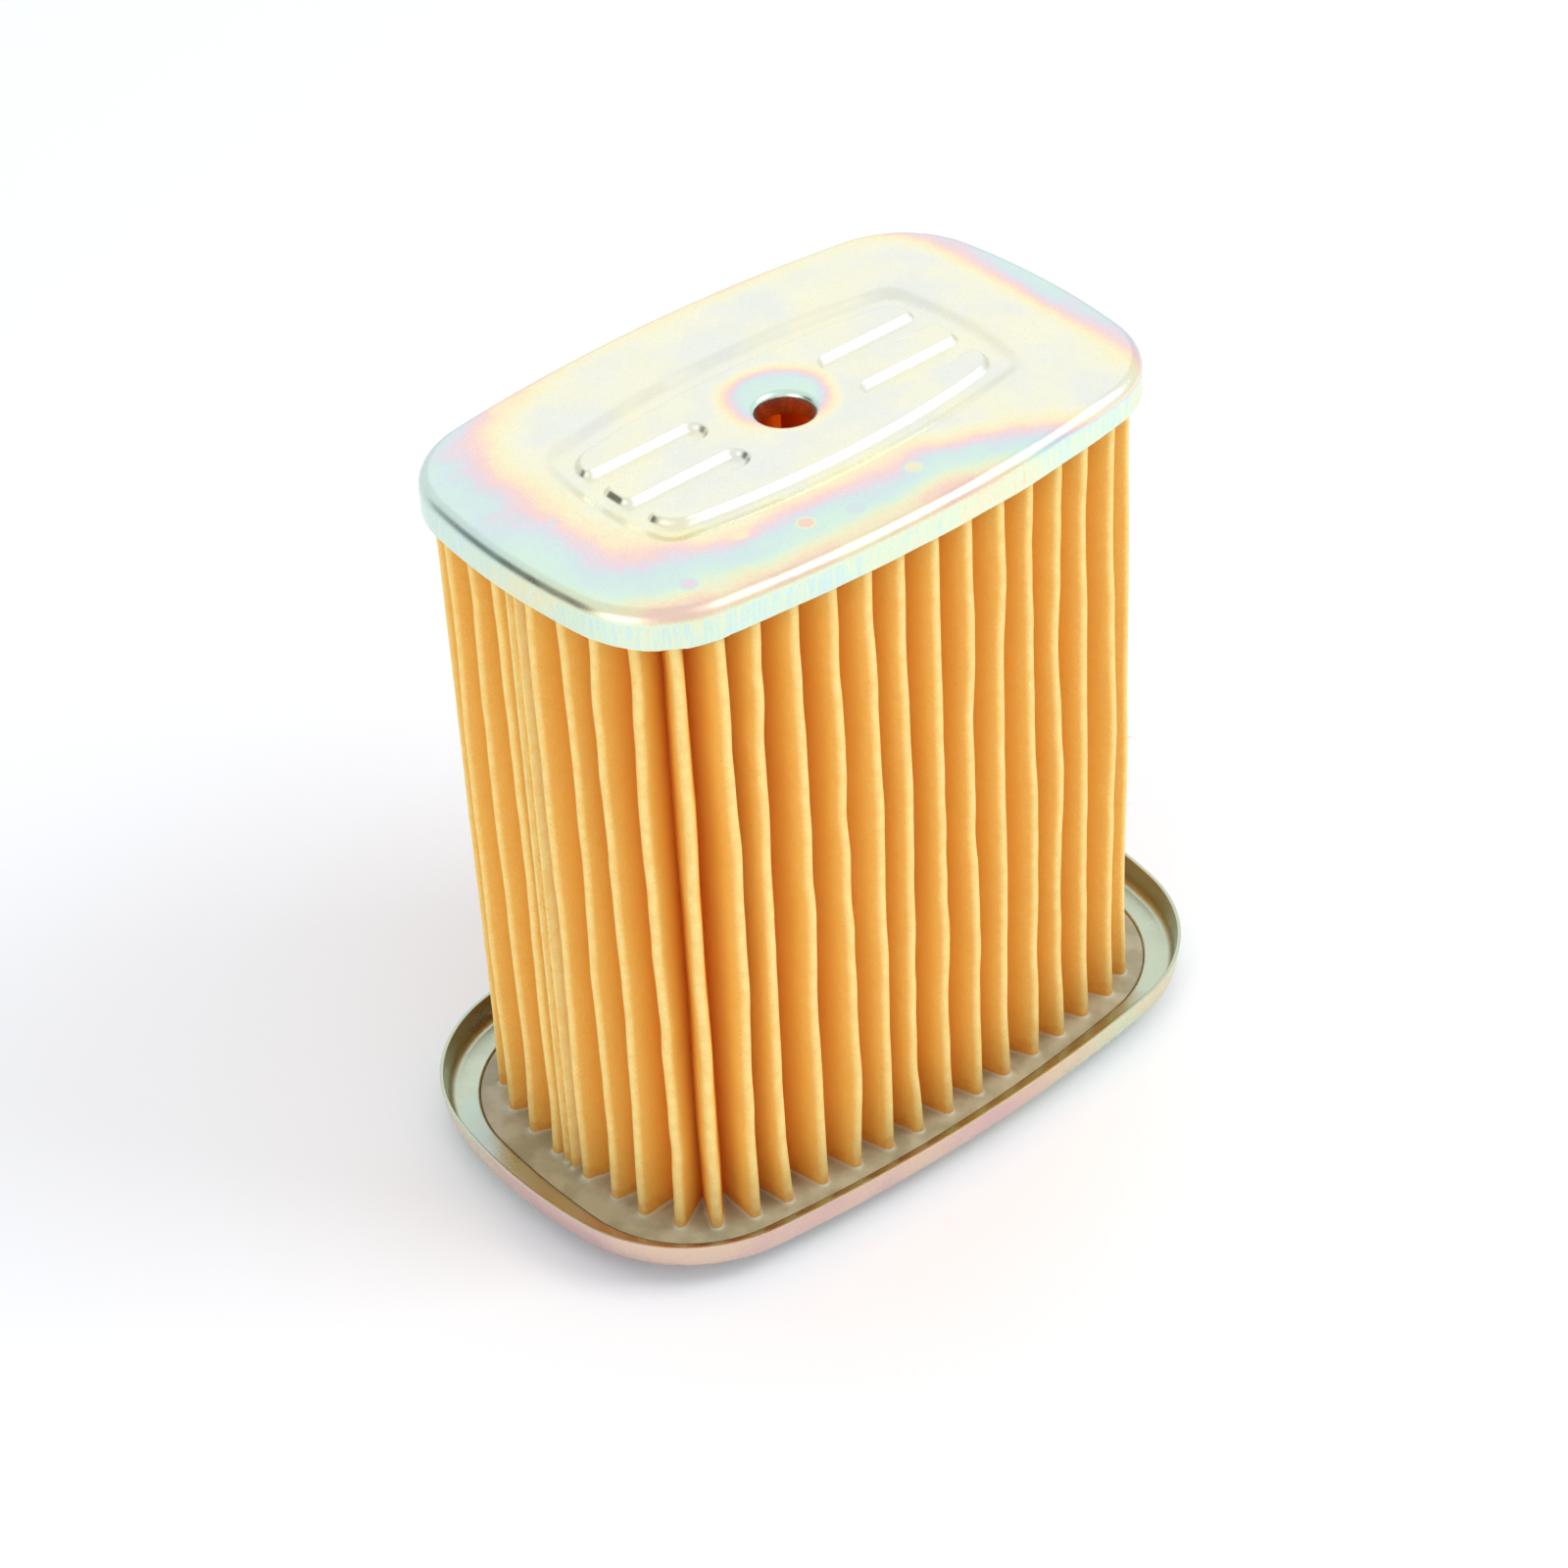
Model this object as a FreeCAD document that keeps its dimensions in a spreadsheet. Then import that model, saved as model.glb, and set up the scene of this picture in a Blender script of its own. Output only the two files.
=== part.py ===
import FreeCAD, Part
import math
import os
import Sketcher
from FreeCAD import Vector

# Pleated paper air filter element for a motorcycle: a ring of folded paper potted between a
# pressed steel cap and a drawn steel tray. Air enters through the paper and leaves through the
# opening in the tray. Millimetres, +Z up through the stud hole, X along the long side. The
# origin is the centre of the sealing gasket's underside.

doc = FreeCAD.newDocument("air_filter")
sheet = doc.addObject("Spreadsheet::Sheet", "Sizes")

SIZES = [
    # steel cap
    ("overall_height", 114.4, "gasket underside to cap face"),
    ("cap_length", 100.0, "along X"),
    ("cap_width", 63.8, "along Y"),
    ("cap_long_side_radius", 228.0, "bulge of the long sides"),
    ("cap_short_side_radius", 104.0, "bulge of the short sides"),
    ("cap_corner_radius", 16.0, "cap corners in plan"),
    ("cap_sheet", 0.6, "steel thickness of the cap"),
    ("cap_flange_height", 5.4, "cap face to the flange's lower edge"),
    ("cap_fold_radius", 2.0, "outside radius of the fold into the flange"),
    # embossing in the cap face
    ("emboss_depth", 1.0, "depth of the pressed channel"),
    ("emboss_end_gap", 4.5, "inner pleat tips to the channel, at the ends"),
    ("emboss_side_gap", 1.8, "inner pleat tips to the channel, at the sides"),
    ("emboss_long_radius", 145.0, "bulge of the channel's long sides"),
    ("emboss_short_radius", 54.0, "bulge of the channel's short sides"),
    ("emboss_corner_radius", 4.6, "outer corners of the channel"),
    ("channel_end_width", 3.3, "channel width at the ends"),
    ("channel_side_width", 5.0, "channel width along the sides"),
    ("island_long_radius", 175.0, "bulge of the raised panel's long sides"),
    ("island_short_radius", 75.0, "bulge of the raised panel's short sides"),
    ("island_corner_radius", 2.6, "corners of the raised panel"),
    ("finger_width", 4.8, "width of each finger of the channel"),
    ("finger_spacing", 9.0, "between the two fingers of an end"),
    ("finger_reach", 11.0, "from the middle to the fingers' inner ends"),
    # stud hole
    ("stud_hole_radius", 4.2, "clearance for an M8 stud"),
    ("stud_lip_radius", 1.0, "rounded lip of the hole"),
    ("stud_collar_depth", 3.0, "drawn collar below the cap plate"),
    # paper
    ("paper_thickness", 0.5, "resin-treated filter paper"),
    ("paper_gap", 0.8, "pleat tips to the inside of the flange"),
    ("paper_end_gap", 0.3, "paper edges to the steel plates"),
    ("pleat_depth", 10.5, "outer to inner pleat tips"),
    ("pleat_count", 46, "outer pleat tips besides the glued joint"),
    ("seam_bead", 1.3, "glue between the two ends of the paper"),
    ("seam_inset", 0.6, "glue held back from the pleat tips"),
    # potting compound
    ("sealant_lip", 0.8, "compound inside the inner pleat tips"),
    ("cap_sealant_depth", 3.0, "compound in the cap"),
    ("tray_sealant_drop", 0.3, "compound's surface below the shelf"),
    # steel tray
    ("tray_sheet", 0.6, "steel thickness of the tray"),
    ("tray_bend_radius", 1.0, "inside radius of the tray's bends"),
    ("well_depth", 1.9, "shelf underside to well underside"),
    ("well_end_margin", 4.1, "pleat tips to the well wall, at the ends"),
    ("well_side_margin", 1.8, "pleat tips to the well wall, at the sides"),
    ("well_long_radius", 233.0, "bulge of the well's long sides"),
    ("well_short_radius", 129.0, "bulge of the well's short sides"),
    ("well_corner_radius", 20.0, "corners of the well"),
    ("shelf_end_width", 5.3, "well wall to the rim, at the ends"),
    ("shelf_side_width", 4.5, "well wall to the rim, at the sides"),
    ("rim_height", 5.0, "shelf underside to the rim's upper edge"),
    ("rim_taper", 8.0, "outward lean of the rim, degrees"),
    ("rim_long_radius", 272.0, "bulge of the rim's long sides"),
    ("rim_short_radius", 85.0, "bulge of the rim's short sides"),
    ("rim_corner_radius", 23.8, "corners of the rim"),
    # clean air outlet
    ("outlet_gap", 2.6, "inner pleat tips to the outlet collar"),
    ("outlet_collar_height", 3.0, "collar above the well floor"),
    ("outlet_long_radius", 226.0, "bulge of the outlet's long sides"),
    ("outlet_short_radius", 100.0, "bulge of the outlet's short sides"),
    ("outlet_corner_radius", 6.0, "corners of the outlet"),
    # sealing gasket
    ("gasket_thickness", 1.2, "die-cut rubber sheet"),
    ("gasket_margin", 2.0, "gasket edges inside the well's edges"),
    ("adhesive_thickness", 0.1, "film that holds the gasket"),
    ("adhesive_inset", 1.0, "film inside the gasket's edges"),
]


class Size:
    """A length of the sheet, or one worked out from others: its formula and its value."""

    def __init__(self, formula, value):
        self.formula = formula
        self.value = value

    def _join(self, sign, other, value):
        text = other.formula if isinstance(other, Size) else repr(other)
        return Size("(%s %s %s)" % (self.formula, sign, text), value)

    def __add__(self, other):
        return self._join("+", other, self.value + number(other))

    def __sub__(self, other):
        return self._join("-", other, self.value - number(other))

    def __mul__(self, other):
        return self._join("*", other, self.value * number(other))

    def __truediv__(self, other):
        return self._join("/", other, self.value / number(other))

    def __neg__(self):
        return Size("(-1 * %s)" % self.formula, -self.value)


def number(value):
    return value.value if isinstance(value, Size) else value


FLUSH = Size("0", 0.0)


def fill_sheet():
    """Write each size as a row of the sheet and return the sizes by name."""
    named = {}
    for row, (alias, value, note) in enumerate(SIZES, start=1):
        sheet.set("A%d" % row, alias)
        sheet.set("B%d" % row, str(value))
        sheet.setAlias("B%d" % row, alias)
        sheet.set("C%d" % row, note)
        named[alias] = Size("Sizes." + alias, value)
    doc.recompute()
    return named


S = fill_sheet()


class Outline:
    """A rounded rectangle whose four sides bulge: arcs for the sides, arcs for the corners."""

    def __init__(self, half_length, half_width, long_radius, short_radius, corner_radius):
        self.half_length = half_length
        self.half_width = half_width
        self.long_radius = long_radius
        self.short_radius = short_radius
        self.corner_radius = corner_radius

    def grown(self, distance):
        """The parallel outline outside this one (inside, where the distance is negative)."""
        return Outline(self.half_length + distance, self.half_width + distance,
                       self.long_radius + distance, self.short_radius + distance,
                       self.corner_radius + distance)

    def arcs(self):
        """The eight arcs as (centre, radius, start angle, end angle), anticlockwise from +X."""
        long_radius = self.long_radius.value
        short_radius = self.short_radius.value
        corner_radius = self.corner_radius.value
        side = Vector(0, self.half_width.value - long_radius)
        end = Vector(self.half_length.value - short_radius, 0)
        span = end - side
        to_side = long_radius - corner_radius
        to_end = short_radius - corner_radius
        along = (to_side ** 2 - to_end ** 2 + span.Length ** 2) / (2 * span.Length)
        across = math.sqrt(to_side ** 2 - along ** 2)
        unit = span / span.Length
        corner = side + unit * along + Vector(unit.y, -unit.x) * across
        side_angle = math.atan2(corner.y - side.y, corner.x - side.x)
        end_angle = math.atan2(corner.y - end.y, corner.x - end.x)
        quarter = math.pi / 2
        return [
            (end, short_radius, -end_angle, end_angle),
            (corner, corner_radius, end_angle, side_angle),
            (side, long_radius, side_angle, 2 * quarter - side_angle),
            (Vector(-corner.x, corner.y), corner_radius, 2 * quarter - side_angle,
             2 * quarter - end_angle),
            (-end, short_radius, 2 * quarter - end_angle, 2 * quarter + end_angle),
            (-corner, corner_radius, 2 * quarter + end_angle, 2 * quarter + side_angle),
            (-side, long_radius, 2 * quarter + side_angle, 4 * quarter - side_angle),
            (Vector(corner.x, -corner.y), corner_radius, 4 * quarter - side_angle,
             4 * quarter - end_angle),
        ]

    def length(self):
        return sum(radius * (stop - start) for _, radius, start, stop in self.arcs())

    def point_and_normal(self, distance):
        """The point a distance along the outline from its -X middle, and its outward normal."""
        arcs = self.arcs()
        arcs = arcs[4:] + arcs[:5]
        left = distance + arcs[0][1] * (arcs[0][3] - arcs[0][2]) / 2
        for centre, radius, start, stop in arcs:
            arc_length = radius * (stop - start)
            if left <= arc_length:
                break
            left -= arc_length
        angle = start + left / radius
        normal = Vector(math.cos(angle), math.sin(angle))
        return centre + normal * radius, normal


def constrain(sketch, kind, *where, size=None):
    """Add a constraint, bound to the size's formula where it has one."""
    if size is None:
        sketch.addConstraint(Sketcher.Constraint(kind, *where))
        return
    index = sketch.addConstraint(Sketcher.Constraint(kind, *where, size.value))
    sketch.setExpression("Constraints[%d]" % index, size.formula)


def draw_outline(sketch, outline):
    """Draw an outline's eight arcs, joined tangentially and bound to its sizes."""
    radii = [outline.short_radius, outline.corner_radius,
             outline.long_radius, outline.corner_radius] * 2
    first = sketch.GeometryCount
    for centre, radius, start, stop in outline.arcs():
        circle = Part.Circle(centre, Vector(0, 0, 1), radius)
        sketch.addGeometry(Part.ArcOfCircle(circle, start, stop), False)
    end_offset = outline.half_length - outline.short_radius
    side_offset = outline.half_width - outline.long_radius
    for axis, arc in ((-1, 0), (-2, 2), (-1, 4), (-2, 6)):
        constrain(sketch, "PointOnObject", first + arc, 3, axis)
    constrain(sketch, "DistanceX", -1, 1, first, 3, size=end_offset)
    constrain(sketch, "DistanceY", -1, 1, first + 2, 3, size=side_offset)
    constrain(sketch, "DistanceX", -1, 1, first + 4, 3, size=-end_offset)
    constrain(sketch, "DistanceY", -1, 1, first + 6, 3, size=-side_offset)
    for arc, radius in enumerate(radii):
        constrain(sketch, "Radius", first + arc, size=radius)
    for arc in range(8):
        constrain(sketch, "Tangent", first + arc, 2, first + (arc + 1) % 8, 1)


def new_sketch(body, name, level):
    """A sketch on the body's own XY plane, raised to a level."""
    plane = [item for item in body.Origin.OriginFeatures if item.Role == "XY_Plane"][0]
    sketch = body.newObject("Sketcher::SketchObject", name)
    sketch.AttachmentSupport = [(plane, "")]
    sketch.MapMode = "FlatFace"
    sketch.setExpression("AttachmentOffset.Base.z", level.formula)
    return sketch


def outline_sketch(body, name, level, *outlines):
    sketch = new_sketch(body, name, level)
    for outline in outlines:
        draw_outline(sketch, outline)
    doc.recompute()
    return sketch


def add_feature(body, kind, name, sketch, length, upward, taper=None):
    """A Pad or a Pocket of a sketch, one way along Z, checked to change the body's volume."""
    before = body.Shape.Volume if body.Tip else 0
    feature = body.newObject("PartDesign::" + kind, name)
    feature.Profile = sketch
    feature.Type = 0
    feature.setExpression("Length", length.formula)
    feature.Reversed = upward == (kind == "Pocket")
    if taper is not None:
        feature.setExpression("TaperAngle", taper.formula)
    doc.recompute()
    change = body.Shape.Volume - before
    if change * (1 if kind == "Pad" else -1) <= 0:
        raise RuntimeError("%s leaves %s as it was" % (name, body.Name))
    return feature


def pad(body, name, sketch, length, upward=True, taper=None):
    return add_feature(body, "Pad", name, sketch, length, upward, taper)


def pocket(body, name, sketch, length, upward=False, taper=None):
    return add_feature(body, "Pocket", name, sketch, length, upward, taper)


def fillet_level(body, name, level, radius):
    """Round the edges of the body's last feature that lie flat at one level."""
    feature = body.Tip
    height = level.value
    names = ["Edge%d" % (index + 1) for index, edge in enumerate(feature.Shape.Edges)
             if abs(edge.BoundBox.ZMin - height) < 1e-4
             and abs(edge.BoundBox.ZMax - height) < 1e-4]
    rounded = body.newObject("PartDesign::Fillet", name)
    rounded.Base = (feature, names)
    rounded.setExpression("Radius", radius.formula)
    doc.recompute()
    return rounded


def new_body(label):
    body = doc.addObject("PartDesign::Body", label)
    body.Label = label
    return body


# Levels, from the floor up.
well_under = S["gasket_thickness"] + S["adhesive_thickness"]
well_floor = well_under + S["tray_sheet"]
shelf_under = well_under + S["well_depth"]
shelf_top = shelf_under + S["tray_sheet"]
tray_sealant_top = shelf_top - S["tray_sealant_drop"]
cap_under = S["overall_height"] - S["cap_sheet"]
cap_sealant_under = cap_under - S["cap_sealant_depth"]
paper_bottom = well_floor + S["paper_end_gap"]
paper_top = cap_under - S["paper_end_gap"]

# Outlines, from the cap inwards and then out to the tray's rim.
cap_outline = Outline(S["cap_length"] / 2, S["cap_width"] / 2, S["cap_long_side_radius"],
                      S["cap_short_side_radius"], S["cap_corner_radius"])
cap_inside = cap_outline.grown(-S["cap_sheet"])
paper_outside = cap_inside.grown(-S["paper_gap"])
paper_inside = paper_outside.grown(-S["pleat_depth"])
sealant_inside = paper_inside.grown(-S["sealant_lip"])
channel_outline = Outline(paper_inside.half_length - S["emboss_end_gap"],
                          paper_inside.half_width - S["emboss_side_gap"],
                          S["emboss_long_radius"], S["emboss_short_radius"],
                          S["emboss_corner_radius"])
island_outline = Outline(channel_outline.half_length - S["channel_end_width"],
                         channel_outline.half_width - S["channel_side_width"],
                         S["island_long_radius"], S["island_short_radius"],
                         S["island_corner_radius"])
well_outline = Outline(paper_outside.half_length + S["well_end_margin"],
                       paper_outside.half_width + S["well_side_margin"],
                       S["well_long_radius"], S["well_short_radius"],
                       S["well_corner_radius"])
rim_outline = Outline(well_outline.half_length + S["shelf_end_width"],
                      well_outline.half_width + S["shelf_side_width"],
                      S["rim_long_radius"], S["rim_short_radius"], S["rim_corner_radius"])
collar_margin = S["outlet_gap"] + S["tray_sheet"]
outlet_outline = Outline(paper_inside.half_length - collar_margin,
                         paper_inside.half_width - collar_margin,
                         S["outlet_long_radius"], S["outlet_short_radius"],
                         S["outlet_corner_radius"])


def finger_sketch(body, name, level, margin):
    """Four round-ended slots, two from each end of the channel, grown by a margin."""
    sketch = new_sketch(body, name, level)
    radius = S["finger_width"] / 2
    inner = S["finger_reach"] + radius
    outer = channel_outline.half_length - radius
    height = S["finger_spacing"] / 2
    slot_radius = radius + margin
    for side_x in (1, -1):
        for side_y in (1, -1):
            first = sketch.GeometryCount
            near = Vector(inner.value * side_x, height.value * side_y)
            far = Vector(outer.value * side_x, height.value * side_y)
            left, right = (near, far) if side_x > 0 else (far, near)
            rise = Vector(0, slot_radius.value)
            normal = Vector(0, 0, 1)
            right_arc = Part.ArcOfCircle(Part.Circle(right, normal, slot_radius.value),
                                         -math.pi / 2, math.pi / 2)
            left_arc = Part.ArcOfCircle(Part.Circle(left, normal, slot_radius.value),
                                        math.pi / 2, 3 * math.pi / 2)
            sketch.addGeometry(right_arc, False)
            sketch.addGeometry(Part.LineSegment(right + rise, left + rise), False)
            sketch.addGeometry(left_arc, False)
            sketch.addGeometry(Part.LineSegment(left - rise, right - rise), False)
            for edge in range(4):
                constrain(sketch, "Tangent", first + edge, 2, first + (edge + 1) % 4, 1)
            spans = (outer, inner) if side_x > 0 else (inner, outer)
            for edge, span in ((0, spans[0]), (2, spans[1])):
                constrain(sketch, "DistanceX", -1, 1, first + edge, 3, size=span * side_x)
            constrain(sketch, "DistanceY", -1, 1, first, 3, size=height * side_y)
            constrain(sketch, "Radius", first, size=slot_radius)
    doc.recompute()
    return sketch


def circle_sketch(body, name, level, radius):
    sketch = new_sketch(body, name, level)
    sketch.addGeometry(Part.Circle(Vector(0, 0, 0), Vector(0, 0, 1), radius.value), False)
    constrain(sketch, "Coincident", 0, 3, -1, 1)
    constrain(sketch, "Radius", 0, size=radius)
    doc.recompute()
    return sketch


def make_top_cap():
    """Pressed cap: plate and flange, embossed channel with fingers, collared stud hole."""
    body = new_body("top_cap")
    top = S["overall_height"]
    flange_edge = top - S["cap_flange_height"]
    blank = outline_sketch(body, "cap_blank_outline", flange_edge, cap_outline)
    pad(body, "cap_blank", blank, S["cap_flange_height"])
    fillet_level(body, "cap_fold", top, S["cap_fold_radius"])
    inside = outline_sketch(body, "cap_inside_outline", cap_under, cap_inside)
    pocket(body, "cap_inside", inside, S["cap_flange_height"] - S["cap_sheet"])
    fillet_level(body, "cap_inner_fold", cap_under, S["cap_fold_radius"] - S["cap_sheet"])

    ring = outline_sketch(body, "channel_back_outline", cap_under,
                          channel_outline.grown(S["cap_sheet"]),
                          island_outline.grown(-S["cap_sheet"]))
    pad(body, "channel_back", ring, S["emboss_depth"], upward=False)
    fingers = finger_sketch(body, "fingers_back_outline", cap_under, S["cap_sheet"])
    pad(body, "fingers_back", fingers, S["emboss_depth"], upward=False)
    collar = circle_sketch(body, "stud_collar_outline", cap_under,
                           S["stud_hole_radius"] + S["cap_sheet"])
    pad(body, "stud_collar", collar, S["stud_collar_depth"], upward=False)

    ring = outline_sketch(body, "channel_outline", top, channel_outline, island_outline)
    pocket(body, "channel", ring, S["emboss_depth"])
    fingers = finger_sketch(body, "fingers_outline", top, FLUSH)
    pocket(body, "fingers", fingers, S["emboss_depth"])
    hole = circle_sketch(body, "stud_hole_outline", top, S["stud_hole_radius"])
    cut = pocket(body, "stud_hole", hole, S["cap_sheet"] + S["stud_collar_depth"])
    lip = body.newObject("PartDesign::Fillet", "stud_lip")
    lip.Base = (cut, [hole_rim(cut.Shape, top.value, S["stud_hole_radius"].value)])
    lip.setExpression("Radius", S["stud_lip_radius"].formula)
    doc.recompute()
    return body


def hole_rim(shape, height, radius):
    """The name of the full circle of a given radius at a given height."""
    for index, edge in enumerate(shape.Edges):
        curve = edge.Curve
        if (isinstance(curve, Part.Circle) and abs(curve.Radius - radius) < 1e-6
                and abs(curve.Center.z - height) < 1e-6):
            return "Edge%d" % (index + 1)
    raise RuntimeError("the stud hole has no rim at the cap's face")


def make_base_tray():
    """Drawn tray: leaning rim, shelf, potting well, and a collar round the outlet."""
    body = new_body("base_tray")
    bend_outside = S["tray_bend_radius"] + S["tray_sheet"]
    blank = outline_sketch(body, "rim_outline", shelf_under, rim_outline)
    pad(body, "rim_blank", blank, S["rim_height"], taper=S["rim_taper"])
    fillet_level(body, "rim_bend", shelf_under, bend_outside)
    inside = outline_sketch(body, "rim_inside_outline", shelf_top,
                            rim_outline.grown(-S["tray_sheet"]))
    pocket(body, "rim_inside", inside, S["rim_height"], upward=True, taper=S["rim_taper"])
    fillet_level(body, "rim_inner_bend", shelf_top, S["tray_bend_radius"])

    back = outline_sketch(body, "well_back_outline", shelf_under,
                          well_outline.grown(S["tray_sheet"]))
    pad(body, "well_back", back, S["well_depth"], upward=False)
    fillet_level(body, "well_bend", well_under, bend_outside)
    well = outline_sketch(body, "well_outline", shelf_top, well_outline)
    pocket(body, "well", well, S["well_depth"])
    fillet_level(body, "well_inner_bend", well_floor, S["tray_bend_radius"])

    collar = outline_sketch(body, "outlet_collar_outline", well_floor,
                            outlet_outline.grown(S["tray_sheet"]))
    pad(body, "outlet_collar", collar, S["outlet_collar_height"])
    outlet = outline_sketch(body, "outlet_outline", well_floor + S["outlet_collar_height"],
                            outlet_outline)
    pocket(body, "outlet", outlet, S["outlet_collar_height"] + S["tray_sheet"])
    return body


def make_ring(label, level, thickness, outside, inside):
    """A flat ring between two outlines."""
    body = new_body(label)
    sketch = outline_sketch(body, label + "_outline", level, outside, inside)
    pad(body, label + "_ring", sketch, thickness)
    return body


def make_sealant_blank(label, level, thickness, outside, inside, bend_level, bend_radius):
    """A ring of compound, rounded on the outside where it fills a bend in the steel."""
    body = new_body(label)
    block = outline_sketch(body, label + "_outside", level, outside)
    pad(body, label + "_block", block, thickness)
    fillet_level(body, label + "_bend", bend_level, bend_radius)
    hollow = outline_sketch(body, label + "_inside", level + thickness, inside)
    pocket(body, label + "_ring", hollow, thickness)
    return body


def pleat_line():
    """The fold line of the paper in plan, from one glued end round to the other."""
    half_gap = (S["seam_bead"].value + S["paper_thickness"].value) / 2
    depth = S["pleat_depth"].value - S["paper_thickness"].value
    tips = paper_outside.grown(-S["paper_thickness"] / 2)
    length = tips.length() - 2 * half_gap
    count = int(S["pleat_count"].value)
    pitch = length / count
    points = []
    for index in range(2 * count + 1):
        point, normal = tips.point_and_normal(half_gap + index * pitch / 2)
        is_inner_tip = index % 2 == 0
        points.append(point - normal * depth if is_inner_tip else point)
    end_x = -tips.half_length.value
    points[0] = Vector(end_x + depth, -half_gap)
    points[-1] = Vector(end_x + depth, half_gap)
    return [Vector(end_x, -half_gap)] + points + [Vector(end_x, half_gap)]


def thick_strip(points, thickness, bottom, height):
    """A folded strip of even thickness, its folds rounded on their outer side."""
    half = thickness / 2
    sides = ([], [])
    for first, second in zip(points, points[1:]):
        along = (second - first).normalize()
        across = Vector(-along.y, along.x) * half
        sides[0].append((first + across, second + across))
        sides[1].append((first - across, second - across))
    edges = []
    for sign, side in zip((1, -1), sides):
        start = side[0][0]
        for index in range(len(side) - 1):
            this, following = side[index], side[index + 1]
            corner = points[index + 1]
            turn = (points[index + 1] - points[index]).cross(points[index + 2] - corner).z
            if turn * sign < 0:
                middle = corner + (this[1] + following[0] - corner * 2).normalize() * half
                edges.append(Part.makeLine(start, this[1]))
                edges.append(Part.Arc(this[1], middle, following[0]).toShape())
                start = following[0]
            else:
                crossing = meeting_point(this, following)
                edges.append(Part.makeLine(start, crossing))
                start = crossing
        edges.append(Part.makeLine(start, side[-1][1]))
    edges.append(Part.makeLine(sides[0][0][0], sides[1][0][0]))
    edges.append(Part.makeLine(sides[0][-1][1], sides[1][-1][1]))
    wire = Part.Wire(Part.__sortEdges__(edges))
    wire.translate(Vector(0, 0, bottom))
    return Part.Face(wire).extrude(Vector(0, 0, height))


def meeting_point(first, second):
    """Where two straight runs cross in plan."""
    run = first[1] - first[0]
    other = second[1] - second[0]
    share = (second[0] - first[0]).cross(other).z / run.cross(other).z
    return first[0] + run * share


def make_pleated_paper():
    """The folded paper, one strip round the whole element."""
    paper = doc.addObject("Part::Feature", "pleated_paper")
    paper.Label = "pleated_paper"
    height = paper_top.value - paper_bottom.value
    paper.Shape = thick_strip(pleat_line(), S["paper_thickness"].value,
                              paper_bottom.value, height)
    paper.Placement = FreeCAD.Placement()
    doc.recompute()
    return paper


def make_paper_seam():
    """The glue between the two ends of the strip, in the middle of the -X side."""
    seam = doc.addObject("Part::Box", "paper_seam")
    seam.Label = "paper_seam"
    length = S["pleat_depth"] - S["seam_inset"] * 2
    start = S["seam_inset"] - paper_outside.half_length
    seam.setExpression("Length", length.formula)
    seam.setExpression("Width", S["seam_bead"].formula)
    seam.setExpression("Height", (paper_top - paper_bottom).formula)
    seam.setExpression("Placement.Base.x", start.formula)
    seam.setExpression("Placement.Base.y", (-S["seam_bead"] / 2).formula)
    seam.setExpression("Placement.Base.z", paper_bottom.formula)
    doc.recompute()
    return seam


def make_sealant(label, ring, paper, seam):
    """Potting compound poured round the paper: a ring less the paper and its glue."""
    strip = doc.addObject("Part::Fuse", label + "_insert")
    strip.Base = paper
    strip.Tool = seam
    sealant = doc.addObject("Part::Cut", label)
    sealant.Label = label
    sealant.Base = ring
    sealant.Tool = strip
    doc.recompute()
    return sealant


def build():
    paper = make_pleated_paper()
    seam = make_paper_seam()
    cap_ring = make_sealant_blank("cap_sealant_blank", cap_sealant_under,
                                  S["cap_sealant_depth"], cap_inside, sealant_inside,
                                  cap_under, S["cap_fold_radius"] - S["cap_sheet"])
    tray_ring = make_sealant_blank("tray_sealant_blank", well_floor,
                                   tray_sealant_top - well_floor, well_outline,
                                   outlet_outline.grown(S["tray_sheet"]),
                                   well_floor, S["tray_bend_radius"])
    gasket_outside = well_outline.grown(-S["gasket_margin"])
    gasket_inside = outlet_outline.grown(S["gasket_margin"])
    return [
        make_top_cap(),
        make_base_tray(),
        paper,
        seam,
        make_sealant("cap_sealant", cap_ring, paper, seam),
        make_sealant("tray_sealant", tray_ring, paper, seam),
        make_ring("sealing_gasket", FLUSH, S["gasket_thickness"],
                  gasket_outside, gasket_inside),
        make_ring("gasket_adhesive", S["gasket_thickness"], S["adhesive_thickness"],
                  gasket_outside.grown(-S["adhesive_inset"]),
                  gasket_inside.grown(S["adhesive_inset"])),
    ]


def check_document():
    for item in doc.Objects:
        if "Invalid" in item.State or "Error" in item.State:
            raise RuntimeError("%s failed: %s" % (item.Name, item.State))


def export(pieces):
    check_document()
    for piece in pieces:
        if piece.Shape.isNull() or not piece.Shape.isValid():
            raise RuntimeError("%s has no valid shape" % piece.Label)
    os.makedirs("parts", exist_ok=True)
    for piece in pieces:
        piece.Shape.exportStep("parts/%s.step" % piece.Label)
        box = piece.Shape.BoundBox
        print("%-16s solids %d  volume %9.1f  z %.2f to %.2f" % (
            piece.Label, len(piece.Shape.Solids), piece.Shape.Volume, box.ZMin, box.ZMax))


export(build())
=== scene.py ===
import math
import random

import bmesh
import bpy
from mathutils import Matrix, Vector, kdtree, noise


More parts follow.
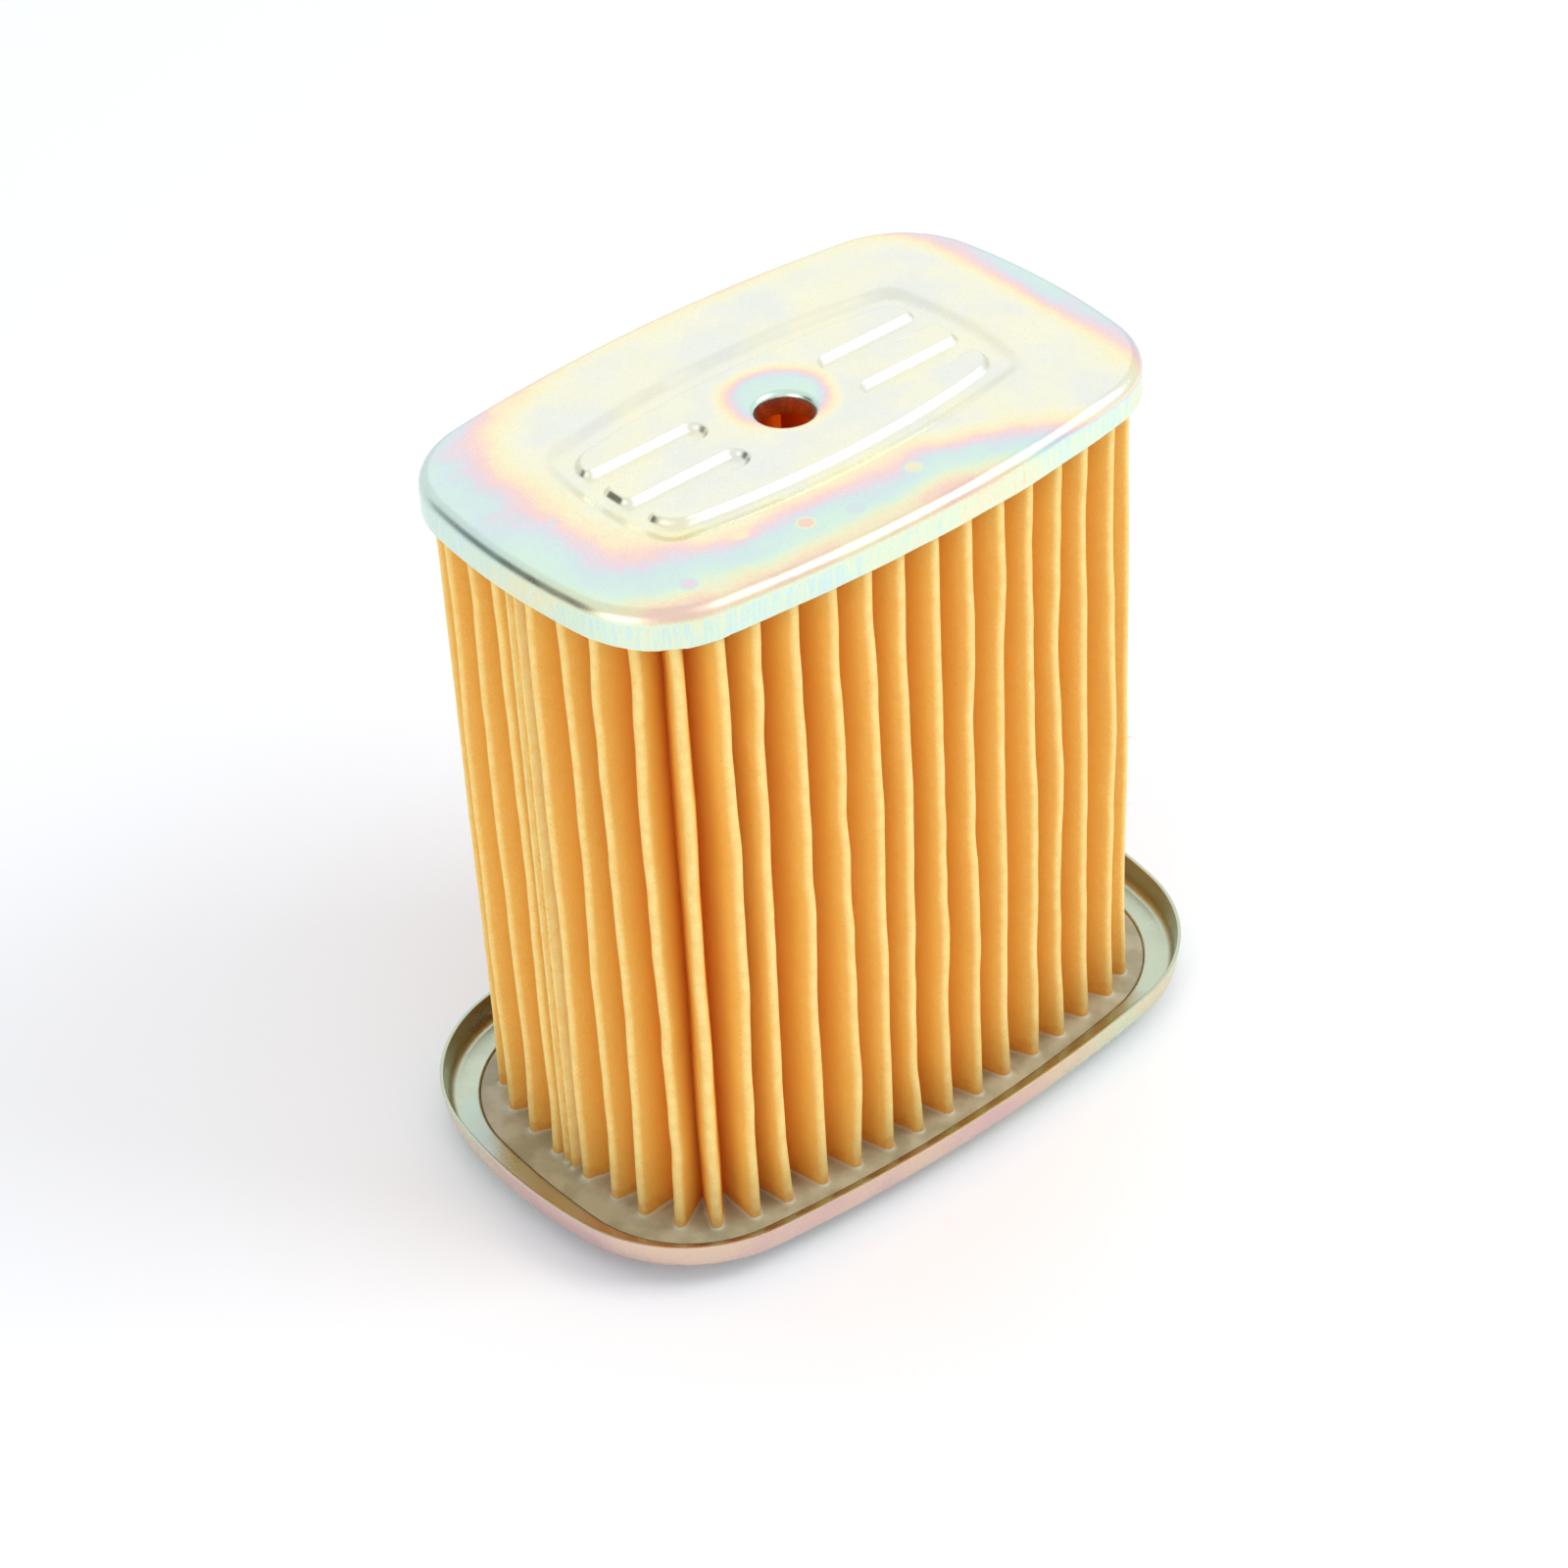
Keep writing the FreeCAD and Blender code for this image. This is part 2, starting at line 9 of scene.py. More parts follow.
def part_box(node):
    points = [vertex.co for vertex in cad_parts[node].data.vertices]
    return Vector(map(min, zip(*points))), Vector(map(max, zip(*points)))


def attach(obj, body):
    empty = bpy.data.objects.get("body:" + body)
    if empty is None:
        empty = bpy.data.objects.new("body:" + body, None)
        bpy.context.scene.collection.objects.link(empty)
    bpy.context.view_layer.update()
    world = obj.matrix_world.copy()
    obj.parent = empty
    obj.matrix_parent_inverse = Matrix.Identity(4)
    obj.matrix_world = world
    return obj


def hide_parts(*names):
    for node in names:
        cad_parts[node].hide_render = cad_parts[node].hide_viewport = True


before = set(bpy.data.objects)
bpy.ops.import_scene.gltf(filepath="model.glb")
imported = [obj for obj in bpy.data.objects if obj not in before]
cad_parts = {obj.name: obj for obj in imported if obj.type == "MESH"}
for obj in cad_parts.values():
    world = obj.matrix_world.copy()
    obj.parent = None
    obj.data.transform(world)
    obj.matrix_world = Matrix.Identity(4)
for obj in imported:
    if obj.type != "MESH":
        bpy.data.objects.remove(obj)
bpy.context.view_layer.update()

# ------------------------------------------------------------------ camera, floor and light
# A long lens looks down on the corner between the glued short side and a long side. Soft
# boxes hang over the far side, to the right and to the left. All round is white, but for a
# dark patch at the back left.
MM = 0.001
CAMERA_PLACE = Vector((-297.3, -368.8, 418.6)) * MM
CAMERA_AZIMUTH = -38.51
CAMERA_ELEVATION = 37.94
CAMERA_ROLL = -3.24
CAMERA_LENS = 93.96
AIM_HEIGHT = 0.06
WHITE_SKY = (0.985, 0.99, 1.0, 1.0)
WHITE_FLOOR = (0.92, 0.94, 0.975, 1.0)
BACK_LEFT = (-0.75, 0.60, 0.28)
FLOOR_HALF = 3.0

camera_data = bpy.data.cameras.new("camera")
camera_data.sensor_width = 36.0
camera_data.lens = CAMERA_LENS
camera = bpy.data.objects.new("camera", camera_data)
camera.matrix_world = (Matrix.Translation(CAMERA_PLACE)
                       @ Matrix.Rotation(math.radians(CAMERA_AZIMUTH), 4, "Z")
                       @ Matrix.Rotation(math.radians(90 - CAMERA_ELEVATION), 4, "X")
                       @ Matrix.Rotation(math.radians(CAMERA_ROLL), 4, "Z"))
bpy.context.collection.objects.link(camera)
bpy.context.scene.camera = camera
bpy.context.scene.view_settings.view_transform = "Standard"


def soft_box(name, direction, distance, size, power):
    """A square area light aimed at the element's middle."""
    data = bpy.data.lights.new(name, "AREA")
    data.size = size
    data.energy = power
    lamp = bpy.data.objects.new(name, data)
    away = Vector(direction).normalized()
    lamp.location = away * distance + Vector((0, 0, AIM_HEIGHT))
    lamp.rotation_euler = away.to_track_quat("Z", "Y").to_euler()
    lamp.visible_camera = False
    bpy.context.collection.objects.link(lamp)


soft_box("far_box", (0.49, 0.62, 0.62), 0.9, 0.75, 0.30)
soft_box("right_box", (0.50, -0.50, 0.70), 0.9, 0.42, 2.7)
soft_box("left_box", (-0.95, -0.25, 0.35), 0.9, 0.45, 1.2)


class Nodes:
    """Short spellings for building a node tree."""

    def __init__(self, tree):
        self.tree = tree

    def add(self, kind, values=None, **settings):
        """A node with its settings, and its inputs set to numbers or joined to other nodes."""
        node = self.tree.nodes.new("ShaderNode" + kind)
        for name, value in settings.items():
            setattr(node, name, value)
        for socket, value in (values or {}).items():
            self.join(value, node.inputs[socket])
        return node

    def join(self, value, socket):
        if isinstance(value, bpy.types.NodeSocket):
            self.tree.links.new(value, socket)
        elif isinstance(value, bpy.types.Node):
            self.tree.links.new(value.outputs[0], socket)
        else:
            socket.default_value = value

    def math(self, operation, *values):
        return self.add("Math", dict(enumerate(values)), operation=operation)

    def noise(self, place, scale, detail=3.0, roughness=0.55):
        """Noise from 0 to 1, of a given number of waves per unit of its place."""
        return self.add("TexNoise", {"Vector": place, "Scale": scale, "Detail": detail,
                                     "Roughness": roughness})

    def mix(self, share, first, second, blend="MIX"):
        """A mix of two colours. A Mix node's colour sockets are its sockets 6 and 7."""
        node = self.add("Mix", {0: share, 6: first, 7: second},
                        data_type="RGBA", blend_type=blend)
        return node.outputs[2]

    def ramp(self, value, stops):
        node = self.add("ValToRGB", {"Fac": value})
        elements = node.color_ramp.elements
        while len(elements) < len(stops):
            elements.new(0.5)
        for element, (place, colour) in zip(elements, stops):
            element.position = place
            element.color = (*colour, 1.0)
        return node

    def spread(self, value, low, high, to_low=0.0, to_high=1.0):
        """A value eased from one range into another."""
        return self.add("MapRange", {"Value": value, "From Min": low, "From Max": high,
                                     "To Min": to_low, "To Max": to_high},
                        interpolation_type="SMOOTHSTEP")

    def vector(self, operation, first, second):
        """A number worked out from two vectors."""
        return self.add("VectorMath", {0: first, 1: second}, operation=operation).outputs["Value"]

    def millimetres(self):
        """The piece's own coordinates, in millimetres."""
        coordinate = self.add("TexCoord").outputs["Object"]
        return self.add("Mapping", {"Vector": coordinate, "Scale": (1000, 1000, 1000)})


world = bpy.data.worlds.new("studio")
bpy.context.scene.world = world
world.use_nodes = True
sky = Nodes(world.node_tree)
towards = sky.vector("DOT_PRODUCT", sky.add("TexCoord").outputs["Generated"], BACK_LEFT)
background = world.node_tree.nodes["Background"]
background.inputs["Color"].default_value = WHITE_SKY
sky.join(sky.spread(towards, 0.90, 0.97, 0.93, 0.08), background.inputs["Strength"])

floor_bm = bmesh.new()
bmesh.ops.create_grid(floor_bm, x_segments=8, y_segments=8, size=FLOOR_HALF)
floor_mesh = bpy.data.meshes.new("floor")
floor_bm.to_mesh(floor_mesh)
floor_bm.free()
floor = bpy.data.objects.new("floor", floor_mesh)
bpy.context.collection.objects.link(floor)
floor_material = bpy.data.materials.new("white_sweep")
floor_material.use_nodes = True
floor_shader = floor_material.node_tree.nodes["Principled BSDF"]
floor_shader.inputs["Base Color"].default_value = WHITE_FLOOR
floor_shader.inputs["Roughness"].default_value = 0.7
floor_mesh.materials.append(floor_material)


# ------------------------------------------------------------------ sealing gasket
# A ring die-cut from soft black rubber sheet, which carries the tray and seals it against
# the filter case. The sheet keeps a fine matt grain and a few dusty patches.
def new_material(name, **settings):
    """A material with one Principled BSDF whose constant sockets are set."""
    material = bpy.data.materials.new(name)
    material.use_nodes = True
    shader = material.node_tree.nodes["Principled BSDF"]
    for socket, value in settings.items():
        shader.inputs[socket.replace("_", " ")].default_value = value
    return material, Nodes(material.node_tree), shader


def new_group(name, inputs, outputs):
    """A shader node group of named floats and colours: its nodes, its input, its output."""
    group = bpy.data.node_groups.new(name, "ShaderNodeTree")
    for socket in inputs:
        group.interface.new_socket(name=socket, in_out="INPUT", socket_type="NodeSocketFloat")
    for socket, kind in outputs.items():
        group.interface.new_socket(name=socket, in_out="OUTPUT",
                                   socket_type="NodeSocket" + kind)
    nodes = Nodes(group)
    return nodes, group.nodes.new("NodeGroupInput"), group.nodes.new("NodeGroupOutput")


grain_nodes, grain_in, grain_out = new_group(
    "fine_grain", ["Patch Size", "Grain Size"], {"Patches": "Float", "Grain": "Float"})
grain_place = grain_nodes.millimetres()
grain_nodes.join(
    grain_nodes.noise(grain_place, grain_nodes.math("DIVIDE", 1.0, grain_in.outputs[0])),
    grain_out.inputs["Patches"])
grain_nodes.join(
    grain_nodes.noise(grain_place, grain_nodes.math("DIVIDE", 1.0, grain_in.outputs[1]), 2.0),
    grain_out.inputs["Grain"])


def add_grain(nodes, patch_size, grain_size):
    """The fine grain group, its patches and grain this many millimetres across."""
    return nodes.add("Group", {"Patch Size": patch_size, "Grain Size": grain_size},
                     node_tree=grain_nodes.tree)


def add_bump(nodes, shader, height, distance):
    """Raise the surface by a height from 0 to 1 times a distance in millimetres."""
    bump = nodes.add("Bump", {"Height": height, "Distance": distance * MM, "Strength": 1.0})
    nodes.join(bump, shader.inputs["Normal"])


def grainy_material(name, dark, light, patch_size, grain_size, relief, **settings):
    """A moulded or poured finish: two shades in soft patches, with a fine relief."""
    material, nodes, shader = new_material(name, **settings)
    grain = add_grain(nodes, patch_size, grain_size)
    shade = nodes.math("ADD", nodes.math("MULTIPLY", grain.outputs["Patches"], 0.6),
                       nodes.math("MULTIPLY", grain.outputs["Grain"], 0.4))
    share = nodes.spread(shade, 0.35, 0.65)
    nodes.join(nodes.mix(share, (*dark, 1.0), (*light, 1.0)), shader.inputs["Base Color"])
    add_bump(nodes, shader, grain.outputs["Grain"], relief)
    return material


rubber = grainy_material("gasket_rubber", (0.018, 0.018, 0.020), (0.045, 0.045, 0.048),
                         7.0, 0.35, 0.05, Roughness=0.72)
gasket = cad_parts["sealing_gasket"]
gasket.data.materials.clear()
gasket.data.materials.append(rubber)

# ------------------------------------------------------------------ gasket adhesive
# A thin film of yellowish contact adhesive between the rubber and the tray's underside. It
# is brushed on, so it varies in thickness.
glue_film = grainy_material("contact_adhesive", (0.42, 0.34, 0.16), (0.66, 0.58, 0.36),
                            4.0, 0.5, 0.03, Roughness=0.35)
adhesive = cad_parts["gasket_adhesive"]
adhesive.data.materials.clear()
adhesive.data.materials.append(glue_film)

# ------------------------------------------------------------------ base tray
# A drawn sheet steel tray: a leaning rim, a flat shelf, a potting well, and a collar drawn
# up round the outlet. It is zinc plated, with an iridescent chromate film over the zinc.
TRAY_SHEET = 0.6
RIM_HEIGHT = 5.0
RIM_LEAN = math.tan(math.radians(8.0))
RIM_ARCS = (272.0, 85.0, 23.8)
WELL_HALF = (52.7, 32.3)
WELL_ARCS = (233.0, 129.0, 20.0)
OUTLET_HALF = (34.9, 16.8)
OUTLET_ARCS = (226.0, 100.0, 6.0)
COLLAR_HEIGHT = 3.0
RIM_BEND = 1.0
SHELF_BEND = 0.6
SHELF_BEND_UNDER = 0.4
WELL_BEND = 0.7
WELL_BEND_UNDER = 1.2
OUTLET_BEND = 0.5
CUT_EDGE = 0.14
RING_POINTS = 400
MERGE_DISTANCE = 1e-4


def outline(half_size, long_radius, short_radius, corner_radius, count=RING_POINTS):
    """A rounded rectangle with bulging sides: evenly spaced points and their normals.

    It runs anticlockwise from the middle of the +X side. Each quarter has three arcs, of the
    short side, the corner and the long side."""
    half_length, half_width = half_size
    side = Vector((0, half_width - long_radius))
    end = Vector((half_length - short_radius, 0))
    span = end - side
    to_side = long_radius - corner_radius
    to_end = short_radius - corner_radius
    along = (to_side ** 2 - to_end ** 2 + span.length_squared) / (2 * span.length)
    across = math.sqrt(to_side ** 2 - along ** 2)
    unit = span.normalized()
    corner = side + unit * along + Vector((unit.y, -unit.x)) * across
    end_angle = math.atan2(corner.y - end.y, corner.x - end.x)
    side_angle = math.atan2(corner.y - side.y, corner.x - side.x)
    arcs = [(end, short_radius, 0.0, end_angle), (corner, corner_radius, end_angle, side_angle),
            (side, long_radius, side_angle, math.pi / 2)]
    quarter_length = sum(radius * (stop - start) for _, radius, start, stop in arcs)
    steps = count // 4
    quarter = []
    for step in range(steps + 1):
        left = quarter_length * step / steps
        for centre, radius, start, stop in arcs:
            if left <= radius * (stop - start) + 1e-6:
                break
            left -= radius * (stop - start)
        angle = start + left / radius
        normal = Vector((math.cos(angle), math.sin(angle)))
        quarter.append((centre + normal * radius, normal))
    turned = [quarter[:-1], quarter[:0:-1], quarter[:-1], quarter[:0:-1]]
    signs = [(1, 1), (-1, 1), (-1, -1), (1, -1)]
    return [(Vector((point.x * x, point.y * y)), Vector((normal.x * x, normal.y * y)))
            for part, (x, y) in zip(turned, signs) for point, normal in part]


def add_ring(bm, plan, offset, level):
    """A closed ring of corners, a distance outside an outline, at a level."""
    verts = bmesh.ops.create_circle(bm, segments=len(plan), radius=1.0)["verts"]
    for vert, (point, normal) in zip(verts, plan):
        vert.co = (*(point + normal * offset), level)
    return verts


def ring_edges(bm, ring):
    """The edges between a ring's corners."""
    return [bm.edges.get(pair) for pair in zip(ring, ring[1:] + ring[:1])]


def skin(bm, rings):
    """Join each ring to the next, corner to corner."""
    for first, second in zip(rings, rings[1:]):
        for index in range(len(first)):
            bm.faces.new((first[index - 1], first[index], second[index], second[index - 1]))
    bm.normal_update()


def round_ring(bm, ring, radius, segments=5):
    """Round the bend along a ring."""
    bmesh.ops.bevel(bm, geom=ring_edges(bm, ring), offset=radius, segments=segments,
                    profile=0.5, affect="EDGES", material=-1, clamp_overlap=True)


def finish_piece(bm, name, material, replaced=(), sharp_above=None):
    """Turn a bmesh in millimetres into a smooth piece in metres that rides on the element."""
    bmesh.ops.remove_doubles(bm, verts=bm.verts, dist=MERGE_DISTANCE)
    bmesh.ops.recalc_face_normals(bm, faces=bm.faces)
    bmesh.ops.scale(bm, vec=(MM, MM, MM), verts=bm.verts)
    mesh = bpy.data.meshes.new(name)
    bm.to_mesh(mesh)
    bm.free()
    mesh.shade_smooth()
    if sharp_above is not None:
        mesh.set_sharp_from_angle(angle=math.radians(sharp_above))
    mesh.materials.append(material)
    piece = bpy.data.objects.new(name, mesh)
    bpy.context.collection.objects.link(piece)
    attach(piece, "root")
    if replaced:
        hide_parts(*replaced)
    return piece


# The film's interference colours, in the order in which a thicker film shows them.
FILM_COLOURS = [
    (0.00, (0.82, 0.84, 0.77)),
    (0.10, (0.89, 0.88, 0.69)),
    (0.20, (0.92, 0.87, 0.58)),
    (0.29, (0.95, 0.78, 0.56)),
    (0.37, (0.92, 0.67, 0.62)),
    (0.45, (0.78, 0.69, 0.75)),
    (0.52, (0.64, 0.78, 0.78)),
    (0.62, (0.66, 0.84, 0.73)),
    (0.72, (0.78, 0.86, 0.62)),
    (0.82, (0.88, 0.80, 0.54)),
    (0.91, (0.90, 0.67, 0.53)),
    (1.00, (0.84, 0.58, 0.56)),
]
DULL_ZINC = (0.45, 0.45, 0.43, 1.0)
BROWN_DIRT_AND_SHADE = (0.20, 0.17, 0.12, 1.0)
film, film_in, film_out = new_group(
    "chromate_film", ["Film", "Dirt And Shade"], {"Colour": "Color", "Roughness": "Float", "Height": "Float"})
film_place = film.millimetres()
film_grain = film.noise(film_place, 2.6, 4.0, 0.7)
film_cloud = film.noise(film_place, 0.16, 2.0)
film_depth = film.math("ADD", film_in.outputs["Film"],
                       film.spread(film_grain, 0.25, 0.75, -0.015, 0.015))
film_tint = film.ramp(film_depth, FILM_COLOURS)
film_scratch_place = film.add("Mapping", {"Vector": film_place, "Scale": (0.35, 3.5, 1.0),
                                          "Rotation": (0, 0, 0.6)})
film_scratches = film.spread(film.noise(film_scratch_place, 1.6, 5.0, 0.75), 0.60, 0.72)
film_dull = film.math("ADD", film.spread(film_grain, 0.42, 0.70, 0.0, 0.10),
                      film.math("MULTIPLY", film_scratches, 0.18))
film_grey = film.mix(film_dull, film_tint, DULL_ZINC)
# Brown is mixed in by the second input: dirt, and on the tray rim's inner wall painted shade.
film_dirt_and_shade = film.mix(film_in.outputs["Dirt And Shade"], film_grey, BROWN_DIRT_AND_SHADE)
film.join(film_dirt_and_shade, film_out.inputs["Colour"])
film.join(film.math("ADD", film.spread(film_cloud, 0.3, 0.7, 0.24, 0.34),
                    film.math("MULTIPLY", film_dull, 0.6)), film_out.inputs["Roughness"])
film.join(film.math("ADD", film.math("MULTIPLY", film_grain, 0.5),
                    film.math("MULTIPLY", film_scratches, -0.4)), film_out.inputs["Height"])


def finish_in_chromate(nodes, shader, depth, relief, dirt_and_shade=0.0):
    """Colour a steel shader by the depth of its chromate film, and the dirt and painted shade over
    it.
    """
    coat = nodes.add("Group", {"Film": depth, "Dirt And Shade": dirt_and_shade}, node_tree=film.tree)
    nodes.join(coat.outputs["Colour"], shader.inputs["Base Color"])
    nodes.join(coat.outputs["Roughness"], shader.inputs["Roughness"])
    add_bump(nodes, shader, coat.outputs["Height"], relief)


tray_low, tray_high = (Vector(corner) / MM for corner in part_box("base_tray"))
well_under = tray_low.z
well_floor = well_under + TRAY_SHEET
rim_top = tray_high.z
shelf_under = rim_top - RIM_HEIGHT
shelf_top = shelf_under + TRAY_SHEET
collar_top = well_floor + COLLAR_HEIGHT
rim_flare = (rim_top - shelf_under) * RIM_LEAN
rim_half = (tray_high.x - rim_flare, tray_high.y - rim_flare)

rim_plan = outline(rim_half, *RIM_ARCS)
well_plan = outline(WELL_HALF, *WELL_ARCS)
outlet_plan = outline(OUTLET_HALF, *OUTLET_ARCS)

tray_bm = bmesh.new()
rim_outside = add_ring(tray_bm, rim_plan, rim_flare, rim_top)
rim_foot = add_ring(tray_bm, rim_plan, 0.0, shelf_under)
shelf_corner = add_ring(tray_bm, well_plan, TRAY_SHEET, shelf_under)
well_foot = add_ring(tray_bm, well_plan, TRAY_SHEET, well_under)
outlet_lip = add_ring(tray_bm, outlet_plan, 0.0, well_under)
collar_inside = add_ring(tray_bm, outlet_plan, 0.0, collar_top)
collar_outside = add_ring(tray_bm, outlet_plan, TRAY_SHEET, collar_top)
collar_foot = add_ring(tray_bm, outlet_plan, TRAY_SHEET, well_floor)
well_corner = add_ring(tray_bm, well_plan, 0.0, well_floor)
shelf_edge = add_ring(tray_bm, well_plan, 0.0, shelf_top)
rim_corner = add_ring(tray_bm, rim_plan, -TRAY_SHEET, shelf_top)
rim_inside = add_ring(tray_bm, rim_plan, rim_flare - TRAY_SHEET, rim_top)
skin(tray_bm, [rim_outside, rim_foot, shelf_corner, well_foot, outlet_lip, collar_inside,
               collar_outside, collar_foot, well_corner, shelf_edge, rim_corner, rim_inside,
               rim_outside])
for ring, radius in ((rim_foot, RIM_BEND + TRAY_SHEET), (shelf_corner, SHELF_BEND_UNDER),
                     (well_foot, WELL_BEND_UNDER), (outlet_lip, OUTLET_BEND),
                     (well_corner, WELL_BEND), (shelf_edge, SHELF_BEND), (rim_corner, RIM_BEND)):
    round_ring(tray_bm, ring, radius)
for ring in (rim_outside, rim_inside, collar_inside, collar_outside):
    round_ring(tray_bm, ring, CUT_EDGE, 2)

# The film's depth on the tray: on what faces up, on the rim's inner wall and on its outside.
FRONT = (-0.62, -0.78, 0.0)
tray_steel, tray_nodes, tray_shader = new_material("tray_chromate", Metallic=1.0)
tray_place = tray_nodes.millimetres()
tray_drift = tray_nodes.noise(tray_place, 0.028, 2.0)
tray_flat = tray_nodes.add("VectorMath", {0: tray_place, 1: (1.0, 1.0, 0.0)},
                           operation="MULTIPLY")
tray_out = tray_nodes.add("VectorMath", {0: tray_flat}, operation="NORMALIZE")
tray_facing = tray_nodes.vector("DOT_PRODUCT", tray_out,
                                tray_nodes.add("NewGeometry").outputs["Normal"])
shelf_depth = tray_nodes.spread(tray_drift, 0.34, 0.62, 0.44, 0.68)
inside_depth = tray_nodes.spread(tray_drift, 0.30, 0.70, 0.62, 0.74)
front_share = tray_nodes.vector("DOT_PRODUCT", tray_out, FRONT)
outside_depth = tray_nodes.math(
    "ADD", tray_nodes.spread(front_share, 0.10, 0.90, 0.75, 0.98),
    tray_nodes.spread(tray_nodes.noise(tray_place, 0.06, 2.0), 0.3, 0.7, -0.08, 0.10))
tray_depth = tray_nodes.spread(tray_facing, 0.15, 0.60, tray_nodes.spread(
    tray_facing, -0.60, -0.15, inside_depth, shelf_depth), outside_depth)
# Most brown goes on the rim's inner wall, which faces the paper: painted shade there. The lighter
# brown on the shelf and the outside is dirt.
tray_dirt_and_shade = tray_nodes.spread(tray_facing, -0.60, -0.15, 0.62, tray_nodes.spread(
    tray_facing, 0.15, 0.60, 0.34, 0.22))
finish_in_chromate(tray_nodes, tray_shader, tray_depth, 0.012, tray_dirt_and_shade)
finish_piece(tray_bm, "steel_tray", tray_steel, ["base_tray"], 50.0)

# ------------------------------------------------------------------ pleated paper
# One strip of resin-treated filter paper, 0.5 mm thick, folded into 46 pleats round the
# element. Each rounded fold wanders and leans a little between the plates that hold its ends.
# Loose fibres stand on the folds and at a frayed patch of the seam.
PAPER = 0.5
PLEATS = 46
PLEAT_DEPTH = 10.5
PAPER_ARCS = (226.35, 102.35, 14.35)
PAPER_PLAN_POINTS = 1600
PAPER_ROWS = 72
SEAM_GAP = 1.3
TIP_RADIUS = 0.62
FOLD_ARC = (-1.33, -0.68, 0.0, 0.68, 1.33)
HELD_HEIGHT = 14.0
LEAN = 0.38

paper_low, paper_high = (Vector(corner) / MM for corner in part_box("pleated_paper"))
paper_plan = outline((paper_high.x - PAPER / 2, paper_high.y - PAPER / 2),
                     *PAPER_ARCS, PAPER_PLAN_POINTS)
paper_length = sum((paper_plan[i][0] - paper_plan[i - 1][0]).length
                   for i in range(PAPER_PLAN_POINTS))
seam_x = -paper_plan[0][0].x
folding = random.Random(46)
lean = [folding.uniform(-LEAN, LEAN) for _ in range(2 * PLEATS + 1)]


def along_outline(distance):
    """The point and normal a distance round the paper's outline from its -X middle."""
    place = (distance / paper_length + 0.5) % 1.0 * len(paper_plan)
    first = int(place)
    share = place - first
    (point, normal), (next_point, next_normal) = (paper_plan[first % len(paper_plan)],
                                                  paper_plan[(first + 1) % len(paper_plan)])
    return point.lerp(next_point, share), normal.lerp(next_normal, share).normalized()


def waver(index, level, per_fold, height, seed):
    """Noise that differs from fold to fold, and along a fold over a given height."""
    return noise.noise(Vector((index * per_fold, level / height, seed)))


def fold_line(level):
    """The paper's middle line at a level: (point, 0 at an inner fold to 1 at an outer one)."""
    free = min((level - paper_low.z) / HELD_HEIGHT, (paper_high.z - level) / HELD_HEIGHT, 1.0)
    loose = 0.30 + 0.70 * free
    half_gap = (SEAM_GAP + PAPER) / 2
    pitch = (paper_length - 2 * half_gap) / PLEATS
    inner = PLEAT_DEPTH - PAPER
    line = [(Vector((seam_x, -half_gap)), 1.0),
            (Vector((seam_x + inner / 2, -half_gap)), 0.5)]
    for index in range(2 * PLEATS + 1):
        is_outer = index % 2 == 1
        slide = 0.62 * waver(index, level, 3.71, 34, 0.5)
        slide += 0.35 * waver(index, level, 0.31, 48, 7.5)
        slide += 0.25 * waver(index, level, 1.93, 12, 23.5)
        ripple = waver(index, level, 5.13, 6, 3.5)
        slide = (slide + lean[index]) * loose + 0.20 * ripple * is_outer * free
        rise = (0.35 * waver(index, level, 2.17, 26, 11.5) - 0.15) * free
        if index in (0, 2 * PLEATS):
            slide, rise = 0.0, 0.0
        point, normal = along_outline(half_gap + index * pitch / 2 + slide)
        tangent = Vector((-normal.y, normal.x))
        facing = normal if is_outer else -normal
        apex = point + normal * (rise if is_outer else rise - inner)
        centre = apex - facing * TIP_RADIUS
        arc = FOLD_ARC if is_outer else FOLD_ARC[::-1]
        for turn in arc:
            spot = centre + (facing * math.cos(turn) + tangent * math.sin(turn)) * TIP_RADIUS
            line.append((spot, 1.0 - 0.2 * abs(turn) if is_outer else 0.2 * abs(turn)))
        if index < 2 * PLEATS:
            line.append((None, 0.5))
    line += [(Vector((seam_x + inner / 2, half_gap)), 0.5), (Vector((seam_x, half_gap)), 1.0)]
    for index, (spot, fold) in enumerate(line):
        if spot is None:
            middle = (line[index - 1][0] + line[index + 1][0]) / 2
            across = (line[index + 1][0] - line[index - 1][0]).orthogonal().normalized()
            bow = 0.30 * waver(index, level, 0.77, 30, 19.5) * free
            line[index] = (middle + across * bow, fold)
    return line


paper_bm = bmesh.new()
fold_layer = paper_bm.verts.layers.float.new("fold")
levels = [paper_low.z + (paper_high.z - paper_low.z) * row / PAPER_ROWS
          for row in range(PAPER_ROWS + 1)]
first_line = fold_line(levels[0])
row_verts = [paper_bm.verts.new((*spot, levels[0])) for spot, _ in first_line]
row_edges = [paper_bm.edges.new(pair) for pair in zip(row_verts, row_verts[1:])]
for vert, (_, fold) in zip(row_verts, first_line):
    vert[fold_layer] = fold
for level in levels[1:]:
    drawn = bmesh.ops.extrude_edge_only(paper_bm, edges=row_edges)["geom"]
    row_verts = [item for item in drawn if isinstance(item, bmesh.types.BMVert)]
    row_edges = [item for item in drawn if isinstance(item, bmesh.types.BMEdge)]
    row_verts.sort(key=lambda vert: vert.index)
    for vert, (spot, fold) in zip(row_verts, fold_line(level)):
        vert.co = (*spot, level)
        vert[fold_layer] = fold
